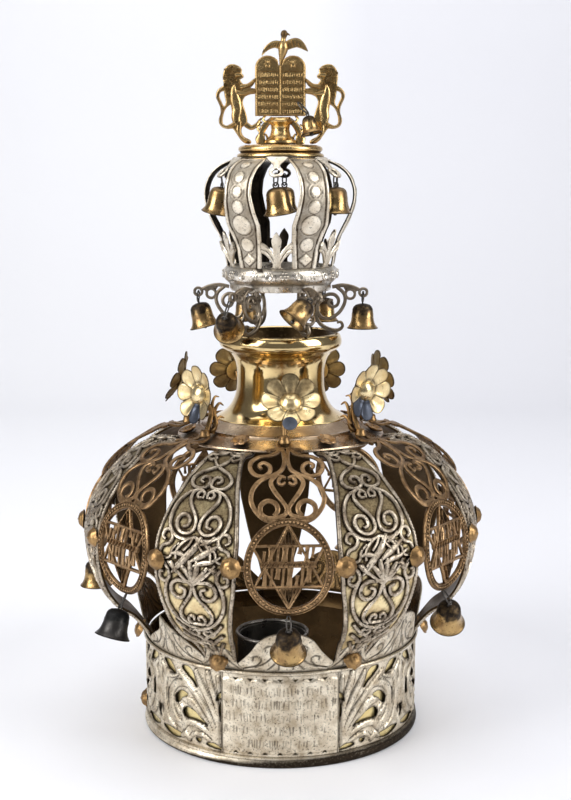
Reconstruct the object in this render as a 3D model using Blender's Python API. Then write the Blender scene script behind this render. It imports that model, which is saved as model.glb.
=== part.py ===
"""Torah crown in silver and gilt metal: base band, seven arched staves with medallions between
them, brass neck with flowers, small six-stave crown on brackets, and a finial of lions, tablets and
bird. Metres, +Z up, front towards -Y, origin at the middle of the underside. Azimuths are in degrees
from the front, towards +X."""

from math import atan2, cos, degrees, hypot, pi, radians, sin

import bmesh
import bpy
from mathutils import Matrix, Vector

MM = 0.001

# Driving dimensions, in metres.
GAP = 0.35 * MM  # between pieces that touch
BASE_RADIUS = 80.0 * MM
WIRE_HEIGHT = 54.0 * MM
SHEET = 0.9 * MM
RIM_PROUD = 1.6 * MM
RIM_HEIGHT = 6.4 * MM
LOBE_TOP = 78.5 * MM
LOBE_LEAN = 0.30
TAB_TOP = 69.0 * MM
TAB_LEAN = 0.72
CARTOUCHE_HALF = 23.6
CARTOUCHE_PROUD = 0.5 * MM

MAIN_COUNT = 7
MAIN_TURN = 2.3
STAVE_SHEET = 1.2 * MM
MEDALLION_SHEET = 1.7 * MM
MEDALLION_WIDE = 23.0 * MM
MEDALLION_TALL = 25.2 * MM

FLOWER_RADIUS = 16.2 * MM
FLOWER_HEIGHT = 202.5 * MM
FLOWER_REACH = 59.0 * MM

SMALL_COUNT = 6
SMALL_TURN = -3.5
DISC_BASE_Z = 331.2 * MM
DISC_RADIUS = 24.6 * MM
FINIAL_BASE_Z = 338.6 * MM
TABLETS_BASE_Z = 354.3 * MM

MEDALLION_AZIMUTHS = [MAIN_TURN + 360.0 / MAIN_COUNT * k for k in range(MAIN_COUNT)]
STAVE_AZIMUTHS = [azimuth + 180.0 / MAIN_COUNT for azimuth in MEDALLION_AZIMUTHS]
OPENING_AZIMUTHS = [SMALL_TURN + 360.0 / SMALL_COUNT * k for k in range(SMALL_COUNT)]
BRACKET_AZIMUTHS = [azimuth + 180.0 / SMALL_COUNT for azimuth in OPENING_AZIMUTHS]


# Tools of the workshop.


def clear_scene():
    for thing in list(bpy.data.objects):
        bpy.data.objects.remove(thing, do_unlink=True)


def metal(name, colour, roughness):
    made = bpy.data.materials.new(name)
    made.use_nodes = True
    shader = made.node_tree.nodes["Principled BSDF"]
    shader.inputs["Base Color"].default_value = (*colour, 1.0)
    shader.inputs["Metallic"].default_value = 1.0
    shader.inputs["Roughness"].default_value = roughness
    return made


def polar(radius, azimuth, height):
    """A point at a radius from the axis, an azimuth in degrees and a height."""
    angle = radians(azimuth)
    return Vector((radius * sin(angle), -radius * cos(angle), height))


def blend(low, high, share):
    return low + (high - low) * share


def look_up(table, x):
    """The value at x on straight runs between a table's (x, value) pairs, x rising."""
    for (x0, y0), (x1, y1) in zip(table, table[1:]):
        if x <= x1:
            return blend(y0, y1, max(0.0, (x - x0) / (x1 - x0)))
    return table[-1][1]


def smooth_through(points, steps):
    """A smooth curve through 2D points, with the given steps between each two."""
    ends = [points[0]] + list(points) + [points[-1]]
    curve = []
    for a, b, c, d in zip(ends, ends[1:], ends[2:], ends[3:]):
        for k in range(steps):
            t = k / steps
            curve.append(
                tuple(
                    0.5 * (2 * b[i] + (c[i] - a[i]) * t + (2 * a[i] - 5 * b[i] + 4 * c[i] - d[i]) * t * t
                           + (3 * b[i] - a[i] - 3 * c[i] + d[i]) * t ** 3)
                    for i in (0, 1)
                )
            )
    return curve + [tuple(points[-1])]


class Path:
    """A curve in the radial plane, (radius, height) points, read by its own length."""

    def __init__(self, points):
        self.points = points
        self.lengths = [0.0]
        for a, b in zip(points, points[1:]):
            self.lengths.append(self.lengths[-1] + hypot(b[0] - a[0], b[1] - a[1]))

    def at(self, length):
        """(radius, height) and the outward unit normal at a length along the path."""
        span = 0
        while span < len(self.points) - 2 and length > self.lengths[span + 1]:
            span += 1
        a, b = self.points[span], self.points[span + 1]
        run = self.lengths[span + 1] - self.lengths[span]
        share = (length - self.lengths[span]) / run
        along = ((b[0] - a[0]) / run, (b[1] - a[1]) / run)
        return (blend(a[0], b[0], share), blend(a[1], b[1], share)), (along[1], -along[0])


def skin(bm, sections, ring=False):
    """Joins closed sections of equal point count into one body, with end caps, or as a ring."""
    rows = [[bm.verts.new(point) for point in section] for section in sections]
    pairs = list(zip(rows, rows[1:] + rows[:1] if ring else rows[1:]))
    for low, high in pairs:
        for k in range(len(low)):
            after = (k + 1) % len(low)
            bm.faces.new((low[k], low[after], high[after], high[k]))
    if not ring:
        bm.faces.new(rows[0])
        bm.faces.new(rows[-1])


def turned(bm, profile, sides):
    """A closed (radius, height) profile turned round the axis."""
    skin(bm, [[polar(r, 360.0 * k / sides, z) for r, z in profile] for k in range(sides)], ring=True)


def stacked(steps, sides):
    """Level rings of points for a solid turned shape, one for each (radius, height) step."""
    return [[polar(r, 360.0 * k / sides, z) for k in range(sides)] for r, z in steps]


def bar(bm, points, width, depth, side=Vector((1, 0, 0))):
    """A rectangular bar along 3D points: depth lies in the points' own plane, width along side."""
    sections = []
    for k, point in enumerate(points):
        before, after = points[max(0, k - 1)], points[min(len(points) - 1, k + 1)]
        across = side.cross((after - before).normalized()).normalized() * (depth / 2)
        half = side * (width / 2)
        low, high = point - across, point + across
        sections.append([low - half, low + half, high + half, high - half])
    skin(bm, sections)


def plate(bm, outline, holes, thickness):
    """A flat plate in the XZ plane with holes, its thickness along Y."""
    curve = bpy.data.curves.new("outline", "CURVE")
    curve.dimensions = "2D"
    curve.fill_mode = "BOTH"
    curve.extrude = thickness / 2
    for loop in [outline] + holes:
        spline = curve.splines.new("POLY")
        spline.points.add(len(loop) - 1)
        for point, (x, z) in zip(spline.points, loop):
            point.co = (x, z, 0.0, 1.0)
        spline.use_cyclic_u = True
    holder = bpy.data.objects.new("outline", curve)
    bpy.context.scene.collection.objects.link(holder)
    flat = bpy.data.meshes.new_from_object(holder.evaluated_get(bpy.context.evaluated_depsgraph_get()))
    flat.transform(Matrix.Rotation(pi / 2, 4, "X"))
    bm.from_mesh(flat)
    bpy.data.objects.remove(holder)
    bpy.data.meshes.remove(flat)
    bmesh.ops.remove_doubles(bm, verts=bm.verts, dist=0.01 * MM)


def piece(name, bm, material, turn=0.0):
    """One object from a mesh, turned about the crown's axis."""
    bmesh.ops.recalc_face_normals(bm, faces=bm.faces)
    mesh = bpy.data.meshes.new(name)
    bm.to_mesh(mesh)
    bm.free()
    mesh.materials.append(material)
    mesh.shade_smooth()
    mesh.set_sharp_from_angle(angle=radians(35))
    made = bpy.data.objects.new(name, mesh)
    made.rotation_euler.z = radians(turn)
    bpy.context.scene.collection.objects.link(made)
    return made


def joined(base, others):
    """Unites bodies that touch with the first one, and leaves it a plain mesh that copies can share."""
    for other in others:
        union = base.modifiers.new("union", "BOOLEAN")
        union.operation = "UNION"
        union.solver = "EXACT"
        union.object = other
    united = bpy.data.meshes.new_from_object(base.evaluated_get(bpy.context.evaluated_depsgraph_get()))
    base.modifiers.clear()
    base.data = united
    for other in others:
        bpy.data.objects.remove(other, do_unlink=True)


def repeated(model, names, azimuths):
    """Copies of one object round the axis; the model itself becomes the first."""
    model.name = names[0]
    model.rotation_euler.z = radians(azimuths[0])
    for name, azimuth in zip(names[1:], azimuths[1:]):
        other = model.copy()
        other.name = name
        other.rotation_euler.z = radians(azimuth)
        bpy.context.scene.collection.objects.link(other)


# Base: band, liner and the roller's socket.

# Height of the cresting above the wire, by azimuth from a lobe's middle; the tab follows the notch.
LOBE_CURVE = [(0.0, 1.0), (7.5, 0.86), (12.5, 0.53), (19.3, 0.19)]
NOTCH = 19.3
TAB_SHOULDER = 22.2


def cresting(offset):
    """(height of the top edge, outward lean) at an azimuth from a lobe's middle."""
    offset = abs(offset)
    if offset <= NOTCH:
        height = WIRE_HEIGHT + (LOBE_TOP - WIRE_HEIGHT) * look_up(LOBE_CURVE, offset)
        return height, look_up([(0.0, LOBE_LEAN), (13.0, LOBE_LEAN), (NOTCH, TAB_LEAN)], offset)
    low = WIRE_HEIGHT + (LOBE_TOP - WIRE_HEIGHT) * LOBE_CURVE[-1][1]
    share = min(1.0, (offset - NOTCH) / (TAB_SHOULDER - NOTCH))
    shoulder = blend(low, TAB_TOP, 0.8)
    return blend(low, shoulder, share) if offset <= TAB_SHOULDER else TAB_TOP, TAB_LEAN


def band_section(azimuth, offset):
    """The band's section: rolled foot rim, wall, wire moulding and leaning cresting."""
    top, lean = cresting(offset)
    inner = BASE_RADIUS - SHEET
    wire_top = WIRE_HEIGHT + 1.5 * MM
    proud = CARTOUCHE_PROUD if abs(azimuth) < CARTOUCHE_HALF else 0.0
    reach = lean * (top - wire_top)
    profile = [
        (inner, 0.0),
        (BASE_RADIUS + RIM_PROUD, 0.0),
        (BASE_RADIUS + proud + 0.3 * MM, RIM_HEIGHT),
        (BASE_RADIUS + proud, WIRE_HEIGHT - 1.5 * MM),
        (BASE_RADIUS + 1.1 * MM, WIRE_HEIGHT),
        (BASE_RADIUS, wire_top),
        (BASE_RADIUS + reach, top),
        (inner + reach, top),
        (inner, wire_top),
    ]
    return [polar(r, azimuth, z) for r, z in profile]


def base_band(material):
    offsets = [offset for offset, share in LOBE_CURVE] + [TAB_SHOULDER]
    period = [-o for o in offsets[:0:-1]] + offsets + [180.0 / MAIN_COUNT]
    sections = []
    for middle in MEDALLION_AZIMUTHS:
        for offset in period:
            azimuth = (middle + offset + 180.0) % 360.0 - 180.0
            sections.append(band_section(azimuth, offset))
    bm = bmesh.new()
    skin(bm, sections, ring=True)
    return piece("base_band", bm, material)


LINER_OUTER = BASE_RADIUS - SHEET - 0.6 * MM
LINER_SHEET = 0.7 * MM


def base_liner(material):
    bm = bmesh.new()
    low, high = 1.0 * MM, WIRE_HEIGHT - 1.0 * MM
    inner = LINER_OUTER - LINER_SHEET
    turned(bm, [(LINER_OUTER, low), (LINER_OUTER, high), (inner, high), (inner, low)], 28)
    return piece("base_liner", bm, material)


SOCKET_RADIUS = 21.0 * MM
SOCKET_TOP = 52.0 * MM
SOCKET_OFFSET = -5.0 * MM
SOCKET_WALL = 1.5 * MM
STRAP_HALF = 8.0 * MM
STRAP_PLATE_RADIUS = 25.0 * MM
STRAP_HEIGHT = 1.6 * MM
STRAP_SHEET = 1.6 * MM


def roller_socket(material):
    """A tube with a rolled rim, open at both ends, on a flat strap that widens round it."""
    inner = SOCKET_RADIUS - SOCKET_WALL
    profile = [
        (inner, STRAP_HEIGHT + 0.8 * STRAP_SHEET),
        (SOCKET_RADIUS, STRAP_HEIGHT + 0.8 * STRAP_SHEET),
        (SOCKET_RADIUS, SOCKET_TOP - 3.0 * MM),
        (SOCKET_RADIUS + 1.4 * MM, SOCKET_TOP - 1.6 * MM),
        (SOCKET_RADIUS + 0.6 * MM, SOCKET_TOP),
        (inner, SOCKET_TOP),
    ]
    bm = bmesh.new()
    turned(bm, profile, 16)
    bmesh.ops.translate(bm, verts=bm.verts, vec=(SOCKET_OFFSET, 0.0, 0.0))
    tube = piece("roller_socket", bm, material)
    reach = LINER_OUTER - LINER_SHEET - 1.6 * MM
    neck_angle = degrees(atan2(STRAP_HALF, STRAP_PLATE_RADIUS))
    arc = [radians(blend(neck_angle, 180.0 - neck_angle, k / 5)) for k in range(6)]
    upper = [(STRAP_PLATE_RADIUS * cos(a), STRAP_PLATE_RADIUS * sin(a)) for a in arc]
    far_right, far_left = reach - SOCKET_OFFSET, -reach - SOCKET_OFFSET
    outline = [(far_right, -STRAP_HALF), (far_right, STRAP_HALF)] + upper
    outline += [(far_left, STRAP_HALF), (far_left, -STRAP_HALF)] + [(x, -y) for x, y in upper[::-1]]
    bm = bmesh.new()
    plate(bm, outline, [oval(12, inner - 1.0 * MM, inner - 1.0 * MM, 0.0)], STRAP_SHEET)
    middle = Matrix.Translation((SOCKET_OFFSET, 0.0, STRAP_HEIGHT + STRAP_SHEET / 2))
    bmesh.ops.transform(bm, matrix=middle @ Matrix.Rotation(pi / 2, 4, "X"), verts=bm.verts)
    strap = piece("socket_strap_helper", bm, material)
    joined(tube, [strap])
    return tube


# Dome: staves and medallions.

# Outer face of a stave from the flange down to the foot inside the cresting.
STAVE_PROFILE = [
    (52.0, 173.2), (60.5, 171.0), (71.0, 171.6), (80.0, 168.2), (88.0, 163.0), (96.0, 155.4), (103.6, 146.2),
    (109.6, 136.0), (113.0, 124.5), (113.6, 113.5), (111.4, 100.0), (106.6, 88.0), (98.6, 77.8), (90.2, 71.6),
    (80.2, 59.2), (77.0, 54.0), (76.8, 49.0),
]
# Half width of a stave by height, along the curve of the dome.
STAVE_HALF = [(46, 8.5), (60, 9.2), (69, 11.6), (80, 16.2), (90, 18.8), (100, 21.2), (108, 23.0), (124, 24.3),
              (134, 23.9), (142, 22.3), (150, 20.0), (158, 16.8), (165, 14.0), (172, 10.4), (175, 8.0)]


def stave(material):
    """A strap of even thickness bent along the dome and, a little, round it."""
    points = [(r * MM, z * MM) for r, z in STAVE_PROFILE]
    sections = []
    for before, (radius, height), after in zip(points[:1] + points, points, points[1:] + points[-1:]):
        half = look_up([(z * MM, w * MM) for z, w in STAVE_HALF], height)
        spread = degrees(half / radius)
        # The profile runs downwards, so the back of the strap lies to its right.
        run = hypot(after[0] - before[0], after[1] - before[1])
        back_r = radius + STAVE_SHEET * (after[1] - before[1]) / run
        back_z = height - STAVE_SHEET * (after[0] - before[0]) / run
        section = [polar(radius, a, height) for a in (-spread, 0.0, spread)]
        section += [polar(back_r, a, back_z) for a in (spread, 0.0, -spread)]
        sections.append(section)
    bm = bmesh.new()
    skin(bm, sections)
    return piece("stave_1", bm, material)


# Middle of a medallion's thickness, from the foot of its ring up to the fixing tab on the flange.
MEDALLION_PROFILE = [
    (110.6, 97.5), (112.0, 104.0), (112.6, 112.0), (112.4, 120.0), (111.6, 127.5), (109.8, 135.0),
    (106.6, 143.5), (101.3, 152.3), (94.8, 160.0), (87.5, 166.0), (77.0, 171.8), (67.0, 175.4), (60.5, 175.0),
    (53.0, 177.6),
]
ROSETTE_ARM = 29.8 * MM
ROSETTE_RADIUS = 5.9 * MM


def oval(count, wide, tall, middle, start=0.0, sweep=360.0):
    """Points on an oval, clockwise from the top when start is 0."""
    angles = [radians(start + sweep * k / count) for k in range(count)]
    return [(wide * sin(a), middle + tall * cos(a)) for a in angles]


def both_sides(points):
    """A right-hand run of outline points and its mirror on the left, as one loop."""
    return points + [(-x, z) for x, z in points[::-1]]


def medallion_loops():
    """Outline and holes of the unbent casting, in millimetres, measured up from the foot of the ring."""
    wide, tall = MEDALLION_WIDE / MM, MEDALLION_TALL / MM
    arm, cup = ROSETTE_ARM / MM, ROSETTE_RADIUS / MM
    right = [(3.0, 111.0), (3.2, 92.0), (19.4, 82.5), (9.5, 73.0), (19.4, 62.0), (12.5, 50.5)]
    right += oval(2, wide, tall, tall, start=50.0, sweep=60.0)
    right += [(arm - 0.4 * cup, tall + cup), (arm + cup, tall), (arm - 0.4 * cup, tall - cup)]
    right += oval(3, wide, tall, tall, start=100.0, sweep=87.0)
    outline = both_sides(right)
    holes = []
    for side in (1, -1):
        holes.append([(side * 7.5, 71.0), (side * 16.6, 62.0), (side * 10.5, 53.5), (side * 3.5, 58.0)])
        holes.append([(side * 3.6, 46.0), (side * 15.6, 38.5), (side * 7.6, 38.5)])
        holes.append([(side * 3.6, 4.6), (side * 7.6, 12.2), (side * 15.6, 12.2)])
    holes.append([(0.0, 70.0), (5.0, 67.5), (0.0, 58.0), (-5.0, 67.5)])
    holes.append([(-14.2, 35.0), (14.2, 35.0), (11.2, 27.4), (-11.2, 27.4)])
    holes.append([(-11.2, 22.8), (11.2, 22.8), (14.2, 15.2), (-14.2, 15.2)])
    return outline, holes


def medallion(material):
    """A flat openwork plate bent in one direction, along the curve of the dome."""
    path = Path(smooth_through([(r * MM, z * MM) for r, z in MEDALLION_PROFILE], 3))
    outline, holes = medallion_loops()
    scaled = [[(x * MM, z * MM) for x, z in loop] for loop in [outline] + holes]
    bm = bmesh.new()
    plate(bm, scaled[0], scaled[1:], MEDALLION_SHEET)
    for vertex in bm.verts:
        across, proud, along = vertex.co
        (radius, height), (out_r, out_z) = path.at(along)
        vertex.co = (across, -(radius - out_r * proud), height - out_z * proud)
    return piece("medallion_1", bm, material)


# Neck and flowers.

NECK_OUTER = [
    (60.0, 173.0), (38.4, 181.2), (37.0, 183.4), (28.4, 190.0), (25.5, 200.0), (25.5, 210.0), (27.8, 218.2),
    (34.8, 224.4), (35.4, 228.6), (32.8, 231.8),
]
NECK_INNER = [(30.6, 230.4), (24.2, 213.0), (23.8, 200.0), (26.6, 189.5), (36.4, 181.0), (59.8, 171.9)]
NECK_SIDES = 18


def neck(material):
    bm = bmesh.new()
    turned(bm, [(r * MM, z * MM) for r, z in NECK_OUTER + NECK_INNER], NECK_SIDES)
    return piece("neck", bm, material)


PETALS = 8
# How far each flower leans back, in degrees, from the front one on round the crown.
FLOWER_LEANS = [28.0, -8.0, 12.0, 10.0, 14.0, 23.0, 4.0]
PETAL_SHEET = 1.0 * MM
PETAL_RISE = 2.4 * MM
FLOWER_BOSS = 6.2 * MM
STEM_HALF = 1.6 * MM
# Radius and height of the stem's bend and of its foot, which stands on the medallion's fixing tab.
STEM_BEND = (51.5 * MM, 191.0 * MM)
STEM_FOOT = (56.0 * MM, 177.7 * MM)


def flower(name, lean, material):
    """A dished eight-petal flower with a domed middle, on a stem that bends down to its foot."""
    place = Matrix.Translation((0.0, -FLOWER_REACH, FLOWER_HEIGHT)) @ Matrix.Rotation(-radians(lean), 4, "X")
    bm = bmesh.new()

    def head_point(x, y, z):
        return bm.verts.new(place @ Vector((x, y, z)))

    # Each petal is a notch and two points on its round end; the rim stands a little forward.
    rim = []
    for k in range(PETALS):
        for share, reach in ((0.0, 0.84), (0.28, 1.0), (0.72, 1.0)):
            angle = 2 * pi / PETALS * (k + share)
            rim.append((FLOWER_RADIUS * reach * sin(angle), FLOWER_RADIUS * reach * cos(angle)))
    front = [head_point(x, -PETAL_RISE, z) for x, z in rim]
    back = [head_point(x, -PETAL_RISE + PETAL_SHEET, z) for x, z in rim]
    core_angles = [2 * pi * k / PETALS for k in range(PETALS)]
    core = [head_point(FLOWER_BOSS * sin(angle), 0.0, FLOWER_BOSS * cos(angle)) for angle in core_angles]
    tip = head_point(0.0, -PETAL_RISE - 1.8 * MM, 0.0)
    for k in range(PETALS):
        near, far = core[k], core[(k + 1) % PETALS]
        petal = [front[(3 * k + j) % len(front)] for j in range(4)]
        bm.faces.new((petal[0], petal[1], near))
        bm.faces.new((petal[1], petal[2], far, near))
        bm.faces.new((petal[2], petal[3], far))
        bm.faces.new((near, far, tip))
    half = STEM_HALF
    corners = [(half, half), (half, -half), (-half, -half), (-half, half)]
    stem = [[head_point(x, 1.6 * MM, up) for x, up in corners]]
    stem.append([bm.verts.new((x, -STEM_BEND[0] + 0.7 * up, STEM_BEND[1] + 0.7 * up)) for x, up in corners])
    stem.append([bm.verts.new((x, -STEM_FOOT[0] + up, STEM_FOOT[1])) for x, up in corners])
    quarter = len(rim) // 4
    for k in range(len(rim)):
        after = (k + 1) % len(rim)
        corner = stem[0][k // quarter]
        bm.faces.new((front[k], front[after], back[after], back[k]))
        bm.faces.new((back[k], back[after], corner))
        if after % quarter == 0:
            bm.faces.new((back[after], stem[0][after // quarter], corner))
    for upper, lower in zip(stem, stem[1:]):
        for k in range(4):
            bm.faces.new((upper[k], upper[(k + 1) % 4], lower[(k + 1) % 4], lower[k]))
    bm.faces.new(stem[-1])
    return piece(name, bm, material)


# Brackets, small crown and disc.

BRACKET_PLATE = 1.8 * MM
BRACKET_STRIP = 2.2 * MM


def bracket(material):
    """An openwork scroll: a hooked arm, a C-curve with an inward curl, and a foot on the neck."""
    strips = {
        "arm": [(30.4, 257.9), (35.4, 258.8), (44.6, 256.0), (49.4, 256.6), (49.4, 252.8)],
        "curve": [(33.0, 257.4), (36.8, 250.4), (27.6, 239.2), (21.0, 244.5), (24.6, 251.6), (30.2, 252.0)],
        "foot": [(20.6, 243.6), (23.6, 236.4), (30.0, 233.3), (35.0, 234.0), (33.0, 237.0)],
    }
    made = []
    for name, points in strips.items():
        bm = bmesh.new()
        bar(bm, [Vector((0.0, -r * MM, z * MM)) for r, z in points], BRACKET_PLATE, BRACKET_STRIP)
        made.append(piece("bracket_" + name, bm, material))
    joined(made[0], made[1:])
    return made[0]


SMALL_PROFILE = [
    (30.4, 269.0), (31.4, 279.0), (34.6, 287.4), (39.0, 295.6), (42.6, 305.0), (42.6, 314.0), (38.8, 322.6),
    (31.0, 328.6), (22.0, 330.5),
]
# Half angle of a small stave by height.
SMALL_HALF = [
    (270, 14.0), (286, 16.0), (294, 16.9), (301, 14.3), (311, 11.9), (319, 12.4), (325, 14.4), (331, 20.0),
]
SMALL_SHEET = 1.1 * MM
SMALL_BASE_RING = [
    (27.0, 256.6), (29.0, 256.6), (29.8, 260.6), (33.0, 264.4), (32.6, 268.6), (29.8, 270.8), (27.4, 270.8),
]
SMALL_TOP_RING = [(19.0, 329.3), (27.5, 329.0), (23.5, 330.8), (19.0, 330.8)]
# Right-hand half of a bell lug: a triangle under the top ring that ends in a round eye.
LUG_OUTLINE = [(7.4, 0.0), (1.6, -7.4), (3.8, -11.0), (1.8, -14.6)]


# Foot of the fleur-de-lis and of the bell lug in each opening: radius, height and lean in degrees.
FLEUR_PLACE = (29.6, 269.5, 16)
LUG_PLACE = (27.0, 330.0, -48)
FLEUR_THICK = 1.4
LUG_THICK = 1.2


def small_crown(material):
    """Base ring, six bellied staves, a fleur-de-lis and a bell lug in each opening, and the top ring."""
    bm = bmesh.new()
    turned(bm, [(r * MM, z * MM) for r, z in SMALL_BASE_RING], 18)
    base = piece("small_crown", bm, material)
    helpers = []
    bm = bmesh.new()
    turned(bm, [(r * MM, z * MM) for r, z in SMALL_TOP_RING], 18)
    helpers.append(piece("small_top_helper", bm, material))
    rail = [(r * MM, z * MM) for r, z in SMALL_PROFILE]
    for azimuth in BRACKET_AZIMUTHS:
        sections = []
        for before, (radius, height), after in zip(rail[:1] + rail, rail, rail[1:] + rail[-1:]):
            run = hypot(after[0] - before[0], after[1] - before[1])
            spread = look_up([(z * MM, a) for z, a in SMALL_HALF], height)
            back_r = radius - SMALL_SHEET * (after[1] - before[1]) / run
            back_z = height + SMALL_SHEET * (after[0] - before[0]) / run
            section = [polar(radius, azimuth + side * spread, height) for side in (-1, 1)]
            section += [polar(back_r, azimuth + side * spread, back_z) for side in (1, -1)]
            sections.append(section)
        bm = bmesh.new()
        skin(bm, sections)
        helpers.append(piece("small_stave_helper", bm, material))
    lug_loops = both_sides([(x * MM, z * MM) for x, z in LUG_OUTLINE]), []
    for azimuth in OPENING_AZIMUTHS:
        for loops, thickness, (radius, height, lean) in (
            (fleur_loops(), FLEUR_THICK, FLEUR_PLACE),
            (lug_loops, LUG_THICK, LUG_PLACE),
        ):
            bm = bmesh.new()
            plate(bm, *loops, thickness * MM)
            place = Matrix.Translation((0.0, -radius * MM, height * MM)) @ Matrix.Rotation(radians(lean), 4, "X")
            bmesh.ops.transform(bm, matrix=Matrix.Rotation(radians(azimuth), 4, "Z") @ place, verts=bm.verts)
            helpers.append(piece("opening_helper", bm, material))
    joined(base, helpers)
    return base


def fleur_loops():
    """Outline of the fleur-de-lis that stands in an opening, and no holes."""
    right = [(0.0, 21.0), (2.6, 16.5), (1.6, 12.0), (6.4, 15.2), (9.6, 12.4), (4.2, 9.6), (1.5, -1.0)]
    outline = right + [(-x, z) for x, z in right[:0:-1]]
    return [(x * MM, z * MM) for x, z in outline], []


# Steps of the plate's rim, as shares of its radius.
DISC_STEPS = [(1.0, 0.0), (1.0, 0.09), (0.93, 0.12), (0.97, 0.19), (0.97, 0.28), (0.88, 0.29)]
DISC_SIDES = 18


def top_disc(material):
    """A two-tier gilt plate."""
    bm = bmesh.new()
    rings = [(DISC_RADIUS * r, DISC_BASE_Z + DISC_RADIUS * z) for r, z in DISC_STEPS]
    skin(bm, stacked(rings, DISC_SIDES))
    return piece("top_disc", bm, material)


# Finial.

# The finial's flat pieces and bars are as thick as this direction.
ACROSS = Vector((0.0, 1.0, 0.0))


SPOOL_SIDES = 12
SPOOL_STEPS = [(8.6, 0.0), (9.4, 1.6), (6.6, 4.6), (5.0, 8.6), (6.8, 12.0), (5.8, 14.6)]
# The supports' leaf and foot: middle line, width and thickness in millimetres.
SUPPORT_STRIPS = [
    ([(9.4, 0.6), (10.2, 4.4), (8.8, 9.4), (5.4, 13.0)], 3.4, 2.4),
    ([(6.0, 0.9), (10.6, 0.9)], 3.0, 1.6),
]


def finial_spool(material):
    """A turned spool with a leafy support against each side."""
    bm = bmesh.new()
    low = FINIAL_BASE_Z + GAP
    skin(bm, stacked([(r * MM, low + z * MM) for r, z in SPOOL_STEPS], SPOOL_SIDES))
    spool = piece("finial_spool", bm, material)
    helpers = []
    for side in (-1, 1):
        for points, width, thickness in SUPPORT_STRIPS:
            bm = bmesh.new()
            line = [Vector((side * x * MM, 0.0, low + z * MM)) for x, z in points]
            bar(bm, line, width * MM, thickness * MM, ACROSS)
            helpers.append(piece("support_helper", bm, material))
    joined(spool, helpers)
    return spool


TABLET_HALF = 14.3
TABLET_TOP = 33.4
TABLET_SHOULDER = 26.5
TABLET_THICK = 3.0
LION_THICK = 3.4


def tablets_outline():
    """Twin round-topped tablets, in millimetres above their foot."""
    half, rise = TABLET_HALF / 2, TABLET_TOP - TABLET_SHOULDER
    angles = [radians(a) for a in (42, 65, 90, 120, 150)]
    arch = [(half - half * cos(a), TABLET_SHOULDER + rise * sin(a)) for a in angles]
    right = [(1.3, TABLET_SHOULDER + 1.2)] + arch + [(TABLET_HALF, TABLET_SHOULDER), (TABLET_HALF, 0.0)]
    return right + [(-x, z) for x, z in right[::-1]]


# A rampant lion facing the tablets, in millimetres from the middle and above the tablets' foot: from
# the upper forepaw over the head and mane, round the tail and hind legs and back up the belly.
LION_OUTLINE = [
    (13.6, 21.6), (16.4, 17.2), (20.0, 16.6), (22.4, 20.0), (20.8, 22.6), (21.6, 26.2), (24.6, 28.2), (28.4, 28.2),
    (31.2, 26.0), (32.0, 21.4), (31.8, 16.6), (34.6, 15.0), (36.4, 11.6), (34.2, 5.4), (33.6, 1.6), (34.6, -3.4),
    (32.6, -6.6), (27.0, -6.6), (24.6, -9.6), (21.6, -13.6), (17.2, -15.4), (17.2, -13.2), (20.4, -11.6),
    (21.4, -6.4), (18.6, -4.4), (19.6, 4.0), (21.2, 7.6), (19.8, 11.0), (13.6, 12.4), (13.6, 15.2), (17.0, 15.4),
    (13.6, 19.0),
]
TAIL_HOLES = [
    [(31.6, 13.0), (34.6, 11.4), (31.6, 5.2), (30.2, 9.2)],
    [(26.6, 7.4), (29.6, 6.0), (32.8, -3.0), (29.8, -4.6), (26.4, 1.0)],
]


def lions_and_tablets(material):
    """A flat casting: the tablets, with a lion at each side."""
    bm = bmesh.new()
    plate(bm, [(x * MM, z * MM) for x, z in tablets_outline()], [], TABLET_THICK * MM)
    tablets = piece("lions_and_tablets", bm, material)
    helpers = []
    for side in (-1, 1):
        bm = bmesh.new()
        loops = [[(side * x * MM, z * MM) for x, z in loop] for loop in [LION_OUTLINE] + TAIL_HOLES]
        plate(bm, loops[0], loops[1:], LION_THICK * MM)
        helpers.append(piece("lion_helper", bm, material))
    joined(tablets, helpers)
    tablets.location.z = TABLETS_BASE_Z
    return tablets


# Steps of the bird's body from its foot up: radius, height and how far it leans right, in millimetres.
BIRD_BODY = [
    (0.8, 0.0, 0.2), (1.3, 3.2, 0.5), (2.7, 7.4, 1.4), (3.0, 10.6, 1.6), (1.5, 13.6, 1.6), (2.0, 16.6, 2.1),
    (1.0, 19.2, 2.2),
]
# Upper and lower edge of each wing, from the body to the tip.
BIRD_WINGS = [
    (
        [(1.0, 13.0), (-3.4, 13.3), (-7.4, 11.0), (-10.3, 6.0)],
        [(1.0, 8.6), (-3.4, 9.8), (-6.6, 8.0), (-10.3, 5.2)],
    ),
    (
        [(2.0, 11.8), (8.0, 15.1), (10.8, 14.0), (15.3, 8.4)],
        [(2.0, 8.0), (6.7, 9.7), (11.2, 9.2), (15.3, 7.6)],
    ),
]
BIRD_BEAK = [(2.2, 17.4), (5.3, 16.4)]
BIRD_FOOT = TABLETS_BASE_Z + (TABLET_SHOULDER + 1.6) * MM


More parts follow.
